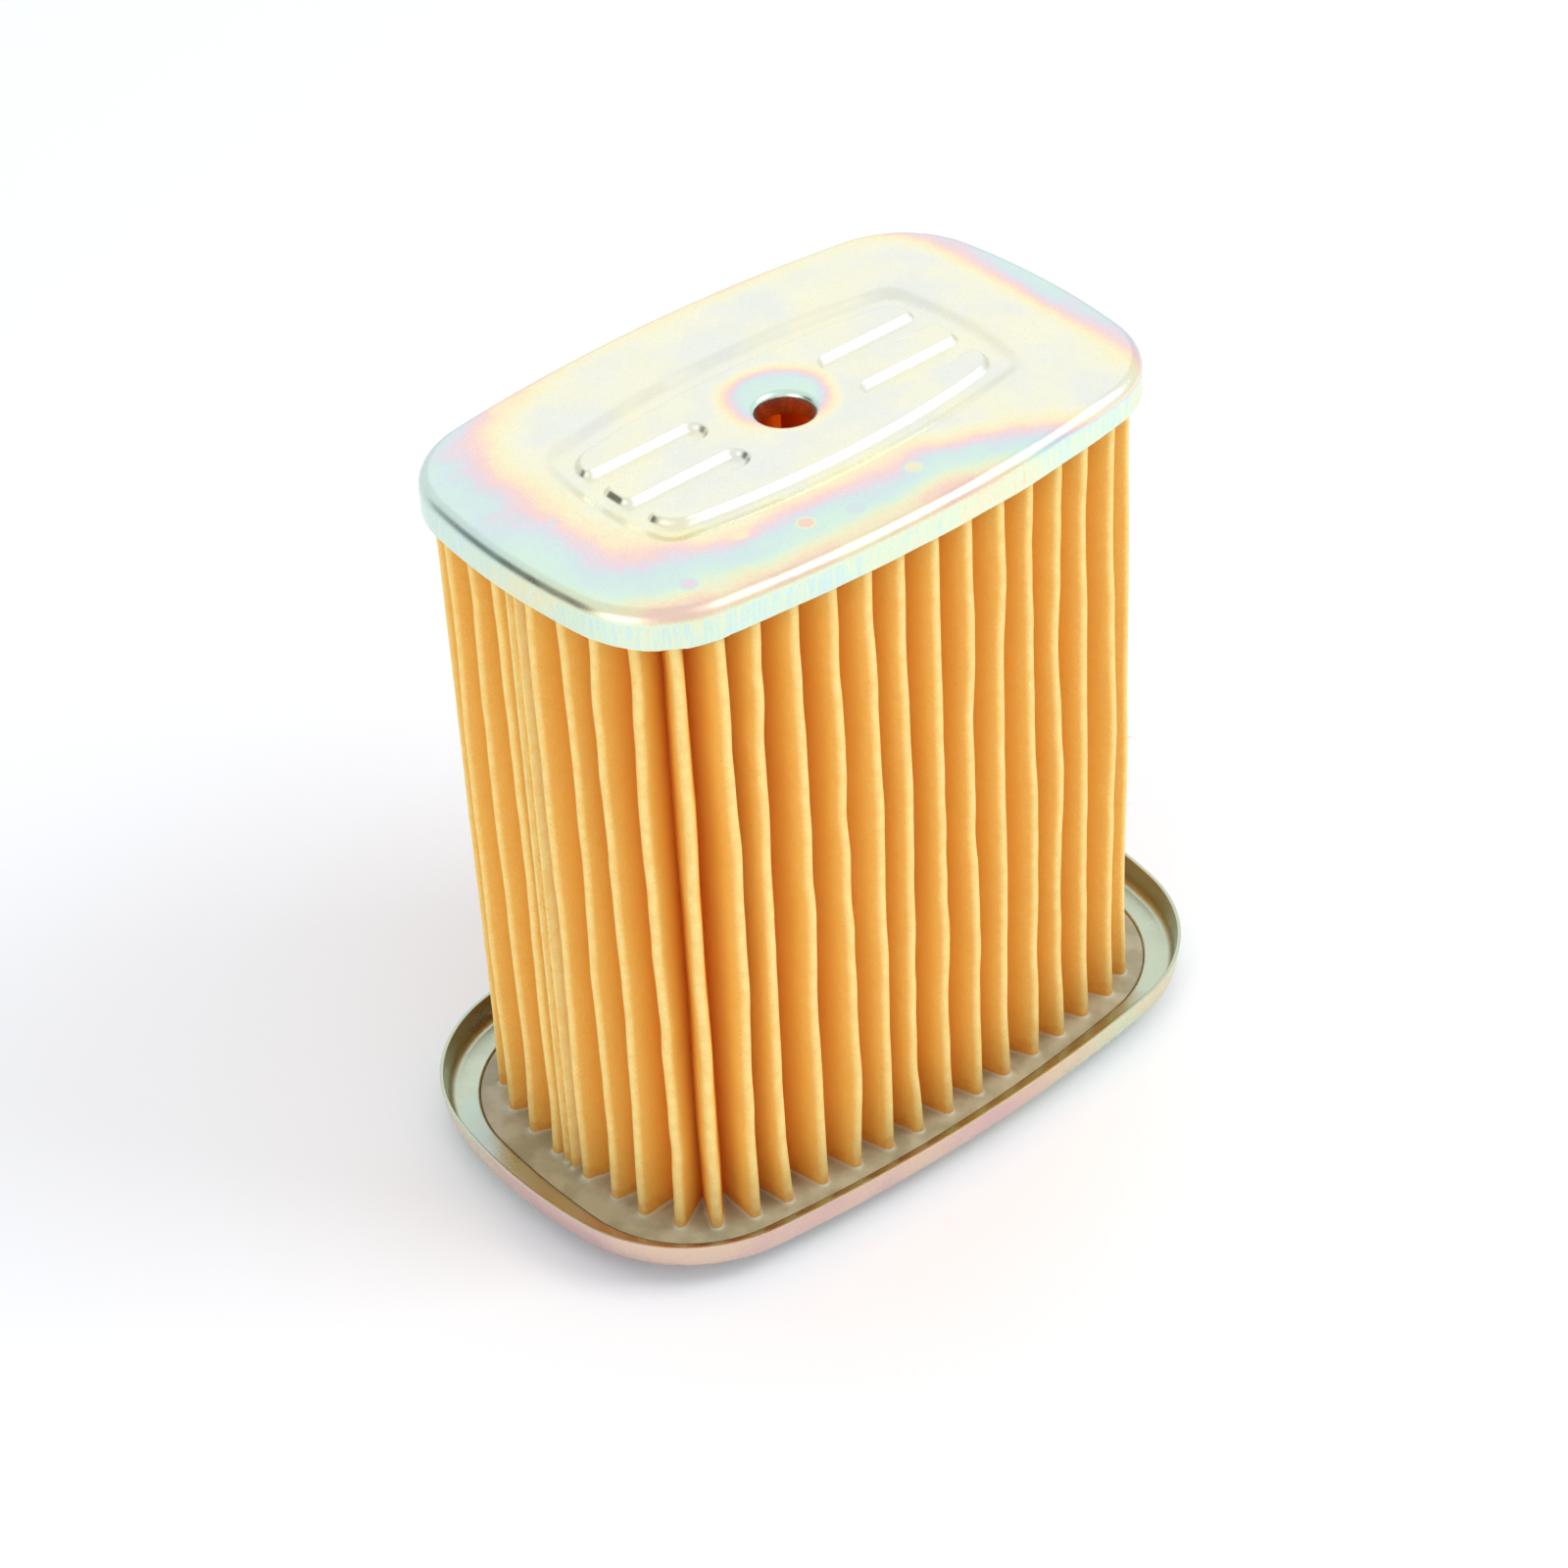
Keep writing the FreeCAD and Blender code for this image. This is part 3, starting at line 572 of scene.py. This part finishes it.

# The paper is painted palest along its outer folds, a painted highlight, and deepest red inside its
# folds, painted shade. It is soaked at its foot.
FLANK_ORANGE = (0.905, 0.49, 0.085, 1.0)
TIP_HIGHLIGHT_YELLOW = (0.97, 0.72, 0.28, 1.0)
SHADED_FOLD_RED = (0.91, 0.345, 0.032, 1.0)
CLOUD_BROWN = (0.85, 0.42, 0.057, 1.0)
SOAKED_BROWN = (0.72, 0.22, 0.025, 1.0)
FLECK_CREAM = (1.0, 0.80, 0.42, 1.0)
PAINTED_GLOW_RED = (1.0, 0.15, 0.004, 1.0)
NO_GLOW = (0.0, 0.0, 0.0, 1.0)
paper_material, paper_nodes, paper_shader = new_material(
    "filter_paper", Roughness=0.82, Specular_IOR_Level=0.25, Subsurface_Weight=0.22,
    Subsurface_Scale=0.0012, Emission_Strength=0.25)
paper_shader.inputs["Subsurface Radius"].default_value = (1.0, 0.45, 0.12)
paper_place = paper_nodes.millimetres()
paper_fold = paper_nodes.add("Attribute", attribute_name="fold").outputs["Fac"]
fibre_place = paper_nodes.add("Mapping", {"Vector": paper_place, "Scale": (1.0, 1.0, 0.45)})
fibres = paper_nodes.noise(fibre_place, 5.0, 5.0, 0.7)
mottle = paper_nodes.noise(paper_place, 0.55, 3.0)
# Towards the outer folds the paper is painted yellower: a painted highlight along the tips.
painted_tip_light = paper_nodes.math("ADD", paper_fold, paper_nodes.spread(fibres, 0.3, 0.7, -0.07, 0.07))
tip_lit_tint = paper_nodes.mix(paper_nodes.spread(painted_tip_light, 0.62, 1.0), FLANK_ORANGE, TIP_HIGHLIGHT_YELLOW)
# Towards the inner folds it is painted redder: painted shade inside the folds.
fold_shaded_tint = paper_nodes.mix(paper_nodes.spread(paper_fold, 0.05, 0.85), SHADED_FOLD_RED, tip_lit_tint)
paper_cloud = paper_nodes.mix(paper_nodes.spread(mottle, 0.35, 0.68, 0.0, 0.25), fold_shaded_tint,
                              CLOUD_BROWN)
paper_height = paper_nodes.add("SeparateXYZ", {"Vector": paper_place}).outputs["Z"]
soaked_to = paper_nodes.math("ADD", paper_height, paper_nodes.spread(mottle, 0.3, 0.7, -1.2, 1.2))
paper_soaked = paper_nodes.mix(paper_nodes.spread(soaked_to, 4.4, 6.6, 0.40, 0.0), paper_cloud,
                               SOAKED_BROWN)
paper_fleck = paper_nodes.mix(paper_nodes.spread(fibres, 0.55, 0.75, 0.0, 0.12), paper_soaked,
                              FLECK_CREAM)
paper_nodes.join(paper_fleck, paper_shader.inputs["Base Color"])
# The inner folds also glow red by emission: a painted glow standing in for light through the paper.
painted_fold_glow = paper_nodes.mix(paper_nodes.spread(paper_fold, 0.05, 0.55), PAINTED_GLOW_RED, NO_GLOW)
paper_nodes.join(painted_fold_glow, paper_shader.inputs["Emission Color"])
add_bump(paper_nodes, paper_shader, fibres, 0.10)
paper = finish_piece(paper_bm, "folded_paper", paper_material,
                     ["pleated_paper"])
paper_wall = paper.modifiers.new("thickness", "SOLIDIFY")
paper_wall.thickness = PAPER * MM
paper_wall.offset = 0.0

FIBRES = 46
FIBRE_LEVELS = (16.0, 106.0)
FIBRE_LENGTHS = (0.7, 1.5)
FRAY_FIBRES = 22
FRAY_HALF_WIDTH = 1.6
FRAY_HEIGHT = 50.0
FRAY_SPREAD = 4.5
FRAY_LENGTHS = (0.4, 1.1)
FIBRE_RADIUS = 0.035
FIBRE_STEPS = 6
FIBRE_SIDES = 5
PAPER_OVAL = (50.0, 32.0)


def add_fibre(bm, start, outward, drift, length):
    """A loose fibre that stands on the paper: a thin, closed, curling tube."""
    across = Vector((-outward.y, outward.x, 0.0))
    rings = []
    for step in range(FIBRE_STEPS + 1):
        share = step / FIBRE_STEPS
        centre = start + (outward * share + drift * share * share) * length
        radius = FIBRE_RADIUS * (1.0 - 0.6 * share)
        turns = [math.tau * corner / FIBRE_SIDES for corner in range(FIBRE_SIDES)]
        rings.append([bm.verts.new(centre + (across * math.cos(turn) + Vector((0, 0, 1))
                                             * math.sin(turn)) * radius) for turn in turns])
    skin(bm, rings)
    bm.faces.new(rings[0][::-1])
    bm.faces.new(rings[-1])


fibre_bm = bmesh.new()
for _ in range(FIBRES):
    fibre_level = folding.uniform(*FIBRE_LEVELS)
    tips = [spot for spot, fold in fold_line(fibre_level) if fold > 0.99]
    tip = folding.choice(tips[1:-1])
    tip_outward = Vector((tip.x / PAPER_OVAL[0], tip.y / PAPER_OVAL[1], 0.0)).normalized()
    fibre_drift = Vector([folding.uniform(-0.9, 0.9) for _ in range(3)])
    add_fibre(fibre_bm, Vector((*tip, fibre_level)), tip_outward, fibre_drift,
              folding.uniform(*FIBRE_LENGTHS))
for _ in range(FRAY_FIBRES):
    frayed = Vector((seam_x, folding.uniform(-FRAY_HALF_WIDTH, FRAY_HALF_WIDTH),
                     folding.gauss(FRAY_HEIGHT, FRAY_SPREAD)))
    fibre_drift = Vector([folding.uniform(-1.2, 1.2) for _ in range(3)])
    add_fibre(fibre_bm, frayed, Vector((-1.0, 0.0, 0.0)), fibre_drift,
              folding.uniform(*FRAY_LENGTHS))
finish_piece(fibre_bm, "paper_fuzz", paper_material)

# ------------------------------------------------------------------ paper seam
# The two ends of the strip are glued back to back with hot-melt. The bead is drawn down by
# hand, so its outer face is uneven, with a rough patch about half way up.
SEAM_ROWS = 110
ROUGH_REACH = 7.0
BEAD_WAVE = 1.6
seam_low, seam_high = (Vector(corner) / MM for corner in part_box("paper_seam"))
seam_bm = bmesh.new()
bmesh.ops.create_cube(seam_bm, size=1.0)
seam_size = seam_high - seam_low
bmesh.ops.scale(seam_bm, vec=seam_size, verts=seam_bm.verts)
bmesh.ops.translate(seam_bm, vec=(seam_low + seam_high) / 2, verts=seam_bm.verts)
upright = [edge for edge in seam_bm.edges
           if abs(edge.verts[0].co.z - edge.verts[1].co.z) > seam_size.z / 2]
bmesh.ops.subdivide_edges(seam_bm, edges=upright, cuts=SEAM_ROWS)
across = [edge for edge in seam_bm.edges
          if abs(edge.verts[0].co.y - edge.verts[1].co.y) > seam_size.y / 2]
bmesh.ops.subdivide_edges(seam_bm, edges=across, cuts=3)
for vert in seam_bm.verts:
    if vert.co.x < seam_low.x + 1:
        rough = math.exp(-((vert.co.z - FRAY_HEIGHT) / ROUGH_REACH) ** 2)
        wander = noise.noise(Vector((vert.co.y * 2.0, 0.0, vert.co.z / BEAD_WAVE)))
        middle = 1 - (2 * vert.co.y / seam_size.y) ** 2
        vert.co.x += 0.5 * wander * (0.4 + 0.6 * rough) - 0.35 * middle * rough + 0.3
hot_melt = grainy_material("seam_glue", (0.83, 0.40, 0.045), (0.95, 0.60, 0.14), 3.0, 0.6, 0.08,
                           Roughness=0.65, Specular_IOR_Level=0.15)
finish_piece(seam_bm, "glue_bead", hot_melt, ["paper_seam"], 50.0)

# ------------------------------------------------------------------ potting compound
# Khaki plastisol poured into the tray's well and into the cap. It sets hard with a slight
# gloss, flat but for a small climb at every pleat that it holds.
COMPOUND_RINGS = 40
COMPOUND_POINTS = 720
COMPOUND_DROP = 0.3
BACK_ROUNDING = 0.7
CLIMB = 0.55
CLIMB_START = 0.25
CLIMB_REACH = 0.45
CAP_SHEET = 0.6
CAP_ARCS = (228.0, 104.0, 16.0)
CAP_POUR_INSIDE = 12.7
DARK_KHAKI = (0.37, 0.355, 0.23, 1.0)
LIGHT_KHAKI = (0.52, 0.50, 0.35, 1.0)
CLIMB_HIGHLIGHT_CREAM = (0.74, 0.68, 0.52, 1.0)


def paper_tree(level):
    """The paper's middle line at a level, for measuring distances to it."""
    spots = []
    line = [spot for spot, _ in fold_line(level)]
    for first, second in zip(line, line[1:]):
        steps = max(1, int((second - first).length / 0.3))
        spots += [first.lerp(second, step / steps) for step in range(steps)]
    tree = kdtree.KDTree(len(spots))
    for index, spot in enumerate(spots):
        tree.insert((*spot, 0.0), index)
    tree.balance()
    return tree


def pour(outer_plan, outer_offset, inner_plan, inner_offset, face, back, up):
    """A ring of compound between two outlines, its free face at one level.

    It climbs at the paper by up to CLIMB, upwards where up is 1 and downwards where it is -1."""
    bm = bmesh.new()
    outer_face = add_ring(bm, outer_plan, outer_offset, face)
    inner_face = add_ring(bm, inner_plan, inner_offset, face)
    outer_back = add_ring(bm, outer_plan, outer_offset, back)
    inner_back = add_ring(bm, inner_plan, inner_offset, back)
    skin(bm, [outer_face, outer_back, inner_back, inner_face, outer_face])
    spokes = [bm.edges.get(pair) for pair in zip(inner_face, outer_face)]
    round_ring(bm, outer_back, BACK_ROUNDING, 3)
    bmesh.ops.subdivide_edges(bm, edges=spokes, cuts=COMPOUND_RINGS, use_grid_fill=True)
    tree = paper_tree(face)
    for vert in bm.verts:
        if abs(vert.co.z - face) < MERGE_DISTANCE:
            _, _, reach = tree.find((vert.co.x, vert.co.y, 0.0))
            climb = CLIMB * math.exp(-max(reach - CLIMB_START, 0.0) / CLIMB_REACH)
            vert.co.z += climb * up
    return bm


compound, compound_nodes, compound_shader = new_material("potting_compound", Roughness=0.22)
compound_grain = add_grain(compound_nodes, 6.0, 0.5)
compound_shade = compound_nodes.mix(
    compound_nodes.spread(compound_grain.outputs["Patches"], 0.35, 0.65), DARK_KHAKI, LIGHT_KHAKI)
compound_height = compound_nodes.add(
    "SeparateXYZ", {"Vector": compound_nodes.millimetres()}).outputs["Z"]
# Where the compound climbs at the pleats it is painted cream: a painted highlight on its little
# menisci.
painted_climb_highlight = compound_nodes.spread(compound_height, shelf_top - 0.15, shelf_top + 0.15,
                                       0.0, 0.5)
compound_nodes.join(compound_nodes.mix(painted_climb_highlight, compound_shade, CLIMB_HIGHLIGHT_CREAM),
                    compound_shader.inputs["Base Color"])
add_bump(compound_nodes, compound_shader, compound_grain.outputs["Grain"], 0.02)
tray_pour = pour(outline(WELL_HALF, *WELL_ARCS, COMPOUND_POINTS), 0.0,
                 outline(OUTLET_HALF, *OUTLET_ARCS, COMPOUND_POINTS), TRAY_SHEET,
                 shelf_top - COMPOUND_DROP, well_floor, 1)
finish_piece(tray_pour, "tray_compound", compound, ["tray_sealant"], 50.0)

cap_low, cap_high = (Vector(corner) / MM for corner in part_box("top_cap"))
pour_low, pour_high = (Vector(corner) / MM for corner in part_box("cap_sealant"))
pour_plan = outline((cap_high.x, cap_high.y), *CAP_ARCS, COMPOUND_POINTS)
cap_pour = pour(pour_plan, -CAP_SHEET, pour_plan, -CAP_POUR_INSIDE,
                pour_low.z, pour_high.z, -1)
finish_piece(cap_pour, "cap_compound", compound, ["cap_sealant"], 50.0)

# ------------------------------------------------------------------ top cap
# A pressed sheet steel cap, zinc plated and chromated like the tray. Its rim is folded down,
# a frame with two fingers from each end is embossed in it, and the stud's hole is collared.
FOLD_RADIUS = 2.0
PLATE_BORDER = FOLD_RADIUS + 0.8
EMBOSS_DEPTH = 1.0
CHANNEL_HALF = (34.7, 18.6)
CHANNEL_ARCS = (145.0, 54.0, 5.2)
CHANNEL_POINTS = 200
CHANNEL_SLOPE = 3.2
ISLAND_HALF = (30.95, 14.5)
ISLAND_ARCS = (150.0, 54.0)
ISLAND_CORNER = 3.4
ISLAND_SLOPE = 1.1
SLOT_HEIGHTS = (3.5, 5.5)
SLOT_END = 11.8
SLOT_MOUTH_CORNER = 2.4
SLOT_END_CORNER = 0.95
SUPPORT = 0.3
HOLE_RADIUS = 4.2
HOLE_POINTS = 96
LIP_RADIUS = 1.0
LIP_STEPS = 6
COLLAR_DEPTH = 3.0
COLLAR_EDGE = 0.1
COLLAR_ROOT = 0.7
FLANGE_FROM = 2.5
FLANGE_INSIDE = (40, 24)
WRINKLED_CORNER = (-42, -26)
WRINKLED_AREA = 90
SAME_LEVEL = 1e-3

cap_plan = outline((cap_high.x, cap_high.y), *CAP_ARCS)
cap_top = cap_high.z
flange_edge = cap_low.z
cap_under = cap_top - CAP_SHEET


def press(bm, face, slope, depth, steps=9):
    """Sink or raise a face by an S-shaped wall, with a flat border inside and outside it."""
    face.normal_update()
    if face.normal.z < 0:
        face.normal_flip()
    bmesh.ops.inset_individual(bm, faces=[face], thickness=SUPPORT, use_even_offset=True)
    reached = 0.0
    for step in range(1, steps + 1):
        share = step / steps
        level = depth * share * share * (3 - 2 * share)
        bmesh.ops.inset_individual(bm, faces=[face], thickness=slope / steps,
                                   depth=level - reached, use_even_offset=True)
        reached = level
    bmesh.ops.inset_individual(bm, faces=[face], thickness=SUPPORT, use_even_offset=True)


def open_edges(bm, level):
    """The edges at a level that border one face only."""
    return [edge for edge in bm.edges if edge.is_boundary
            and all(abs(vert.co.z - level) < SAME_LEVEL for vert in edge.verts)]


def island_corners():
    """The raised panel's corners at its foot, with each corner's radius, anticlockwise."""
    half_length, half_width = ISLAND_HALF
    side_radius, end_radius = ISLAND_ARCS

    def end_at(y):
        return half_length - end_radius + math.sqrt(end_radius ** 2 - y ** 2)

    def side_at(x):
        return half_width - side_radius + math.sqrt(side_radius ** 2 - x ** 2)

    low, high = SLOT_HEIGHTS
    corner = side_at(half_length - 1.0)
    quarter = [(end_at(low), low, SLOT_MOUTH_CORNER), (SLOT_END, low, SLOT_END_CORNER),
               (SLOT_END, high, SLOT_END_CORNER), (end_at(high), high, SLOT_MOUTH_CORNER),
               (end_at(corner), corner, ISLAND_CORNER)]
    quarter += [(x, side_at(x), 0.0) for x in (25.0, 20.0, 15.0, 10.0, 5.0)]
    half = quarter + [(0.0, half_width, 0.0)] + [(-x, y, r) for x, y, r in quarter[::-1]]
    return half + [(-x, -y, r) for x, y, r in half]


# The flange, its fold and a narrow border of the plate.
cap_bm = bmesh.new()
edge_outside = add_ring(cap_bm, cap_plan, 0.0, flange_edge)
fold_outside = add_ring(cap_bm, cap_plan, 0.0, cap_top)
plate_border = add_ring(cap_bm, cap_plan, -PLATE_BORDER, cap_top)
edge_inside = add_ring(cap_bm, cap_plan, -CAP_SHEET, flange_edge)
fold_inside = add_ring(cap_bm, cap_plan, -CAP_SHEET, cap_under)
back_border = add_ring(cap_bm, cap_plan, -PLATE_BORDER, cap_under)
skin(cap_bm, [plate_border, fold_outside, edge_outside, edge_inside, fold_inside, back_border])
round_ring(cap_bm, fold_outside, FOLD_RADIUS, 9)
round_ring(cap_bm, fold_inside, FOLD_RADIUS - CAP_SHEET, 6)

# The plate: the channel sunk in it, the raised panel with its slots, and the hole.
plate_bm = bmesh.new()
channel_plan = outline(CHANNEL_HALF, *CHANNEL_ARCS, CHANNEL_POINTS)
channel_start = add_ring(plate_bm, channel_plan, SUPPORT, cap_top)
channel_face = bmesh.ops.contextual_create(
    plate_bm, geom=ring_edges(plate_bm, channel_start))["faces"][0]
press(plate_bm, channel_face, CHANNEL_SLOPE, -EMBOSS_DEPTH)
bmesh.ops.delete(plate_bm, geom=[channel_face], context="FACES_ONLY")
channel_ring = open_edges(plate_bm, cap_top)

corner_verts = [(plate_bm.verts.new((x, y, cap_top - EMBOSS_DEPTH)), radius)
                for x, y, radius in island_corners()]
plate_bm.faces.new([vert for vert, _ in corner_verts])
for radius in (ISLAND_CORNER, SLOT_MOUTH_CORNER, SLOT_END_CORNER):
    corners = [vert for vert, own in corner_verts if own == radius]
    bmesh.ops.bevel(plate_bm, geom=corners, offset=radius, segments=10, profile=0.5,
                    affect="VERTICES", material=-1)
island_face = max(plate_bm.faces, key=lambda face: len(face.verts))
press(plate_bm, island_face, ISLAND_SLOPE, EMBOSS_DEPTH)
island_ring = list(island_face.edges)
bmesh.ops.delete(plate_bm, geom=[island_face], context="FACES_ONLY")
bmesh.ops.triangle_fill(plate_bm, edges=open_edges(plate_bm, cap_top - EMBOSS_DEPTH),
                        use_beauty=True)

hole_plan = [(Vector((0, 0)), Vector((math.cos(turn), math.sin(turn))))
             for turn in (math.tau * step / HOLE_POINTS for step in range(HOLE_POINTS))]
border_radius = HOLE_RADIUS + LIP_RADIUS + SUPPORT
hole_border = add_ring(plate_bm, hole_plan, border_radius, cap_top)
bmesh.ops.triangle_fill(plate_bm, edges=island_ring + ring_edges(plate_bm, hole_border),
                        use_beauty=True)
outer_border = add_ring(plate_bm, cap_plan, -PLATE_BORDER, cap_top)
bmesh.ops.triangle_fill(plate_bm, edges=channel_ring + ring_edges(plate_bm, outer_border),
                        use_beauty=True)
plate_back = bmesh.ops.duplicate(plate_bm, geom=plate_bm.verts[:] + plate_bm.edges[:]
                                 + plate_bm.faces[:])["geom"]
bmesh.ops.translate(plate_bm, vec=(0, 0, -CAP_SHEET),
                    verts=[item for item in plate_back if isinstance(item, bmesh.types.BMVert)])

lip_rings = [add_ring(plate_bm, hole_plan, border_radius, cap_top)]
for step in range(LIP_STEPS + 1):
    turn = math.pi / 2 * step / LIP_STEPS
    lip_rings.append(add_ring(plate_bm, hole_plan,
                              HOLE_RADIUS + LIP_RADIUS * (1 - math.sin(turn)),
                              cap_top - LIP_RADIUS * (1 - math.cos(turn))))
collar_bottom = cap_under - COLLAR_DEPTH
collar_radius = HOLE_RADIUS + CAP_SHEET
collar_profile = [(HOLE_RADIUS, collar_bottom + COLLAR_EDGE),
                  (HOLE_RADIUS + COLLAR_EDGE, collar_bottom),
                  (collar_radius - COLLAR_EDGE, collar_bottom),
                  (collar_radius, collar_bottom + COLLAR_EDGE),
                  (collar_radius, cap_under - COLLAR_ROOT), (border_radius, cap_under)]
lip_rings += [add_ring(plate_bm, hole_plan, radius, level) for radius, level in collar_profile]
skin(plate_bm, lip_rings)

plate_mesh = bpy.data.meshes.new("plate")
plate_bm.to_mesh(plate_mesh)
plate_bm.free()
cap_bm.from_mesh(plate_mesh)
bpy.data.meshes.remove(plate_mesh)

# The flange's lower edge is a little wavy, and lower and wrinkled at the front corner.
flange_top = cap_top - FLANGE_FROM
for vert in cap_bm.verts:
    hang = (flange_top - vert.co.z) / (flange_top - flange_edge)
    is_flange = abs(vert.co.x) > FLANGE_INSIDE[0] or abs(vert.co.y) > FLANGE_INSIDE[1]
    if hang > 0 and is_flange:
        corner_reach = ((vert.co.x - WRINKLED_CORNER[0]) ** 2
                        + (vert.co.y - WRINKLED_CORNER[1]) ** 2)
        front = math.exp(-corner_reach / WRINKLED_AREA)
        wave = noise.noise(Vector((vert.co.x / 7, vert.co.y / 7, 2.5)))
        wrinkle = noise.noise(Vector((vert.co.x / 1.7, vert.co.y / 1.7, 8.5)))
        vert.co.z += hang * (0.22 * wave + 0.12 + front * (0.24 * wrinkle - 0.50))

# The film is thin in the middle of an oval on the plate, and thicker towards the edge and
# round the hole. Drips dried on it at some spots: (x, y, film depth).
OVAL_X, OVAL_HALF_LENGTH = 1.6, 45.8
OVAL_Y, OVAL_HALF_WIDTH = 5.75, 28.25
OVAL_POWER = 3.5
HOLE_RING_PLACE = (1.2, 3.2, cap_top)
STAIN_PLACE = (-39.0, -3.0, cap_top)
STAIN_RADIUS = 3.4
DRIP_SPOTS = [(-24, -19, 0.27), (-16, -23, 0.93), (-9, -25, 0.50), (3, -23, 0.80),
              (-36, -23, 0.45)]
DRIP_RADII = (0.8, 1.7)
cap_steel, cap_nodes, cap_shader = new_material("cap_chromate", Metallic=1.0)
cap_place = cap_nodes.millimetres()
cap_axes = cap_nodes.add("SeparateXYZ", {"Vector": cap_place})
cap_x, cap_y, cap_z = (cap_axes.outputs[axis] for axis in "XYZ")
thin_right = cap_nodes.math("MINIMUM", 15.0, cap_nodes.math("MULTIPLY", 0.0148, cap_nodes.math(
    "POWER", cap_nodes.math("MAXIMUM", cap_x, 0.0), 2.0)))
thin_front = cap_nodes.math("MULTIPLY", thin_right, cap_nodes.spread(cap_y, -15.0, 5.0, 1.0, 0.0))
shifted_y = cap_nodes.math("ADD", cap_y, thin_front)
edge_terms = [cap_nodes.math("POWER", cap_nodes.math("ABSOLUTE", cap_nodes.math(
    "DIVIDE", cap_nodes.math("SUBTRACT", place, middle), half)), OVAL_POWER)
    for place, middle, half in ((cap_x, OVAL_X, OVAL_HALF_LENGTH),
                                (shifted_y, OVAL_Y, OVAL_HALF_WIDTH))]
edge_share = cap_nodes.math("POWER", cap_nodes.math("ADD", *edge_terms), 1 / OVAL_POWER)
late_right = cap_nodes.math("MULTIPLY", cap_nodes.spread(cap_x, 20.0, 36.0, 0.0, 0.12),
                            cap_nodes.spread(cap_x, 40.0, 46.0, 1.0, 0.0))
cap_cloud = cap_nodes.spread(cap_nodes.noise(cap_place, 0.055, 3.0), 0.25, 0.75, -0.045, 0.015)
cap_edge = cap_nodes.math("ADD", cap_nodes.math("SUBTRACT", edge_share, late_right), cap_cloud)
edge_film = cap_nodes.math("ADD", cap_nodes.spread(cap_edge, 0.68, 1.07, 0.04, 0.57),
                           cap_nodes.spread(cap_edge, 1.05, 1.26, 0.0, 0.32))
hole_reach = cap_nodes.vector("DISTANCE", cap_place, HOLE_RING_PLACE)
hole_film = cap_nodes.spread(cap_nodes.math("ADD", hole_reach, cap_nodes.math(
    "MULTIPLY", cap_cloud, 20.0)), 4.2, 9.8, 0.60, 0.05)
cap_film = cap_nodes.math("MAXIMUM", edge_film, hole_film)
inner_cloud = cap_nodes.spread(cap_nodes.noise(cap_place, 0.09, 3.0), 0.3, 0.7, -0.06, 0.06)
cap_depth = cap_nodes.math("ADD", cap_film, inner_cloud)
stain_wander = cap_nodes.spread(cap_nodes.noise(cap_place, 0.35, 4.0), 0.2, 0.8, -3.0, 3.0)
stain_reach = cap_nodes.math("ADD", stain_wander,
                             cap_nodes.vector("DISTANCE", cap_place, STAIN_PLACE))
stain_line = cap_nodes.spread(cap_nodes.math("ABSOLUTE", cap_nodes.math(
    "SUBTRACT", stain_reach, STAIN_RADIUS)), 0.10, 0.35, 0.10, 0.0)
cap_depth = cap_nodes.math("ADD", cap_depth, stain_line)
for spot_x, spot_y, spot_depth in DRIP_SPOTS:
    spot_reach = cap_nodes.vector("DISTANCE", cap_place, (spot_x, spot_y, cap_top))
    cap_depth = cap_nodes.spread(spot_reach, *DRIP_RADII, spot_depth, cap_depth)
streak_place = cap_nodes.add("Mapping", {"Vector": cap_place, "Scale": (1.0, 1.0, 0.08)})
flange_depth = cap_nodes.math(
    "ADD", cap_nodes.spread(cap_nodes.noise(streak_place, 2.4, 3.0), 0.3, 0.7, -0.09, 0.09),
    cap_nodes.spread(cap_nodes.noise(cap_place, 0.04, 2.0), 0.3, 0.7, 0.60, 0.80))
cap_depth = cap_nodes.spread(cap_z, cap_top - 2.3, cap_top - 0.9, flange_depth, cap_depth)
finish_in_chromate(cap_nodes, cap_shader, cap_depth, 0.012)
finish_piece(cap_bm, "pressed_cap", cap_steel, ["top_cap"], 60.0)
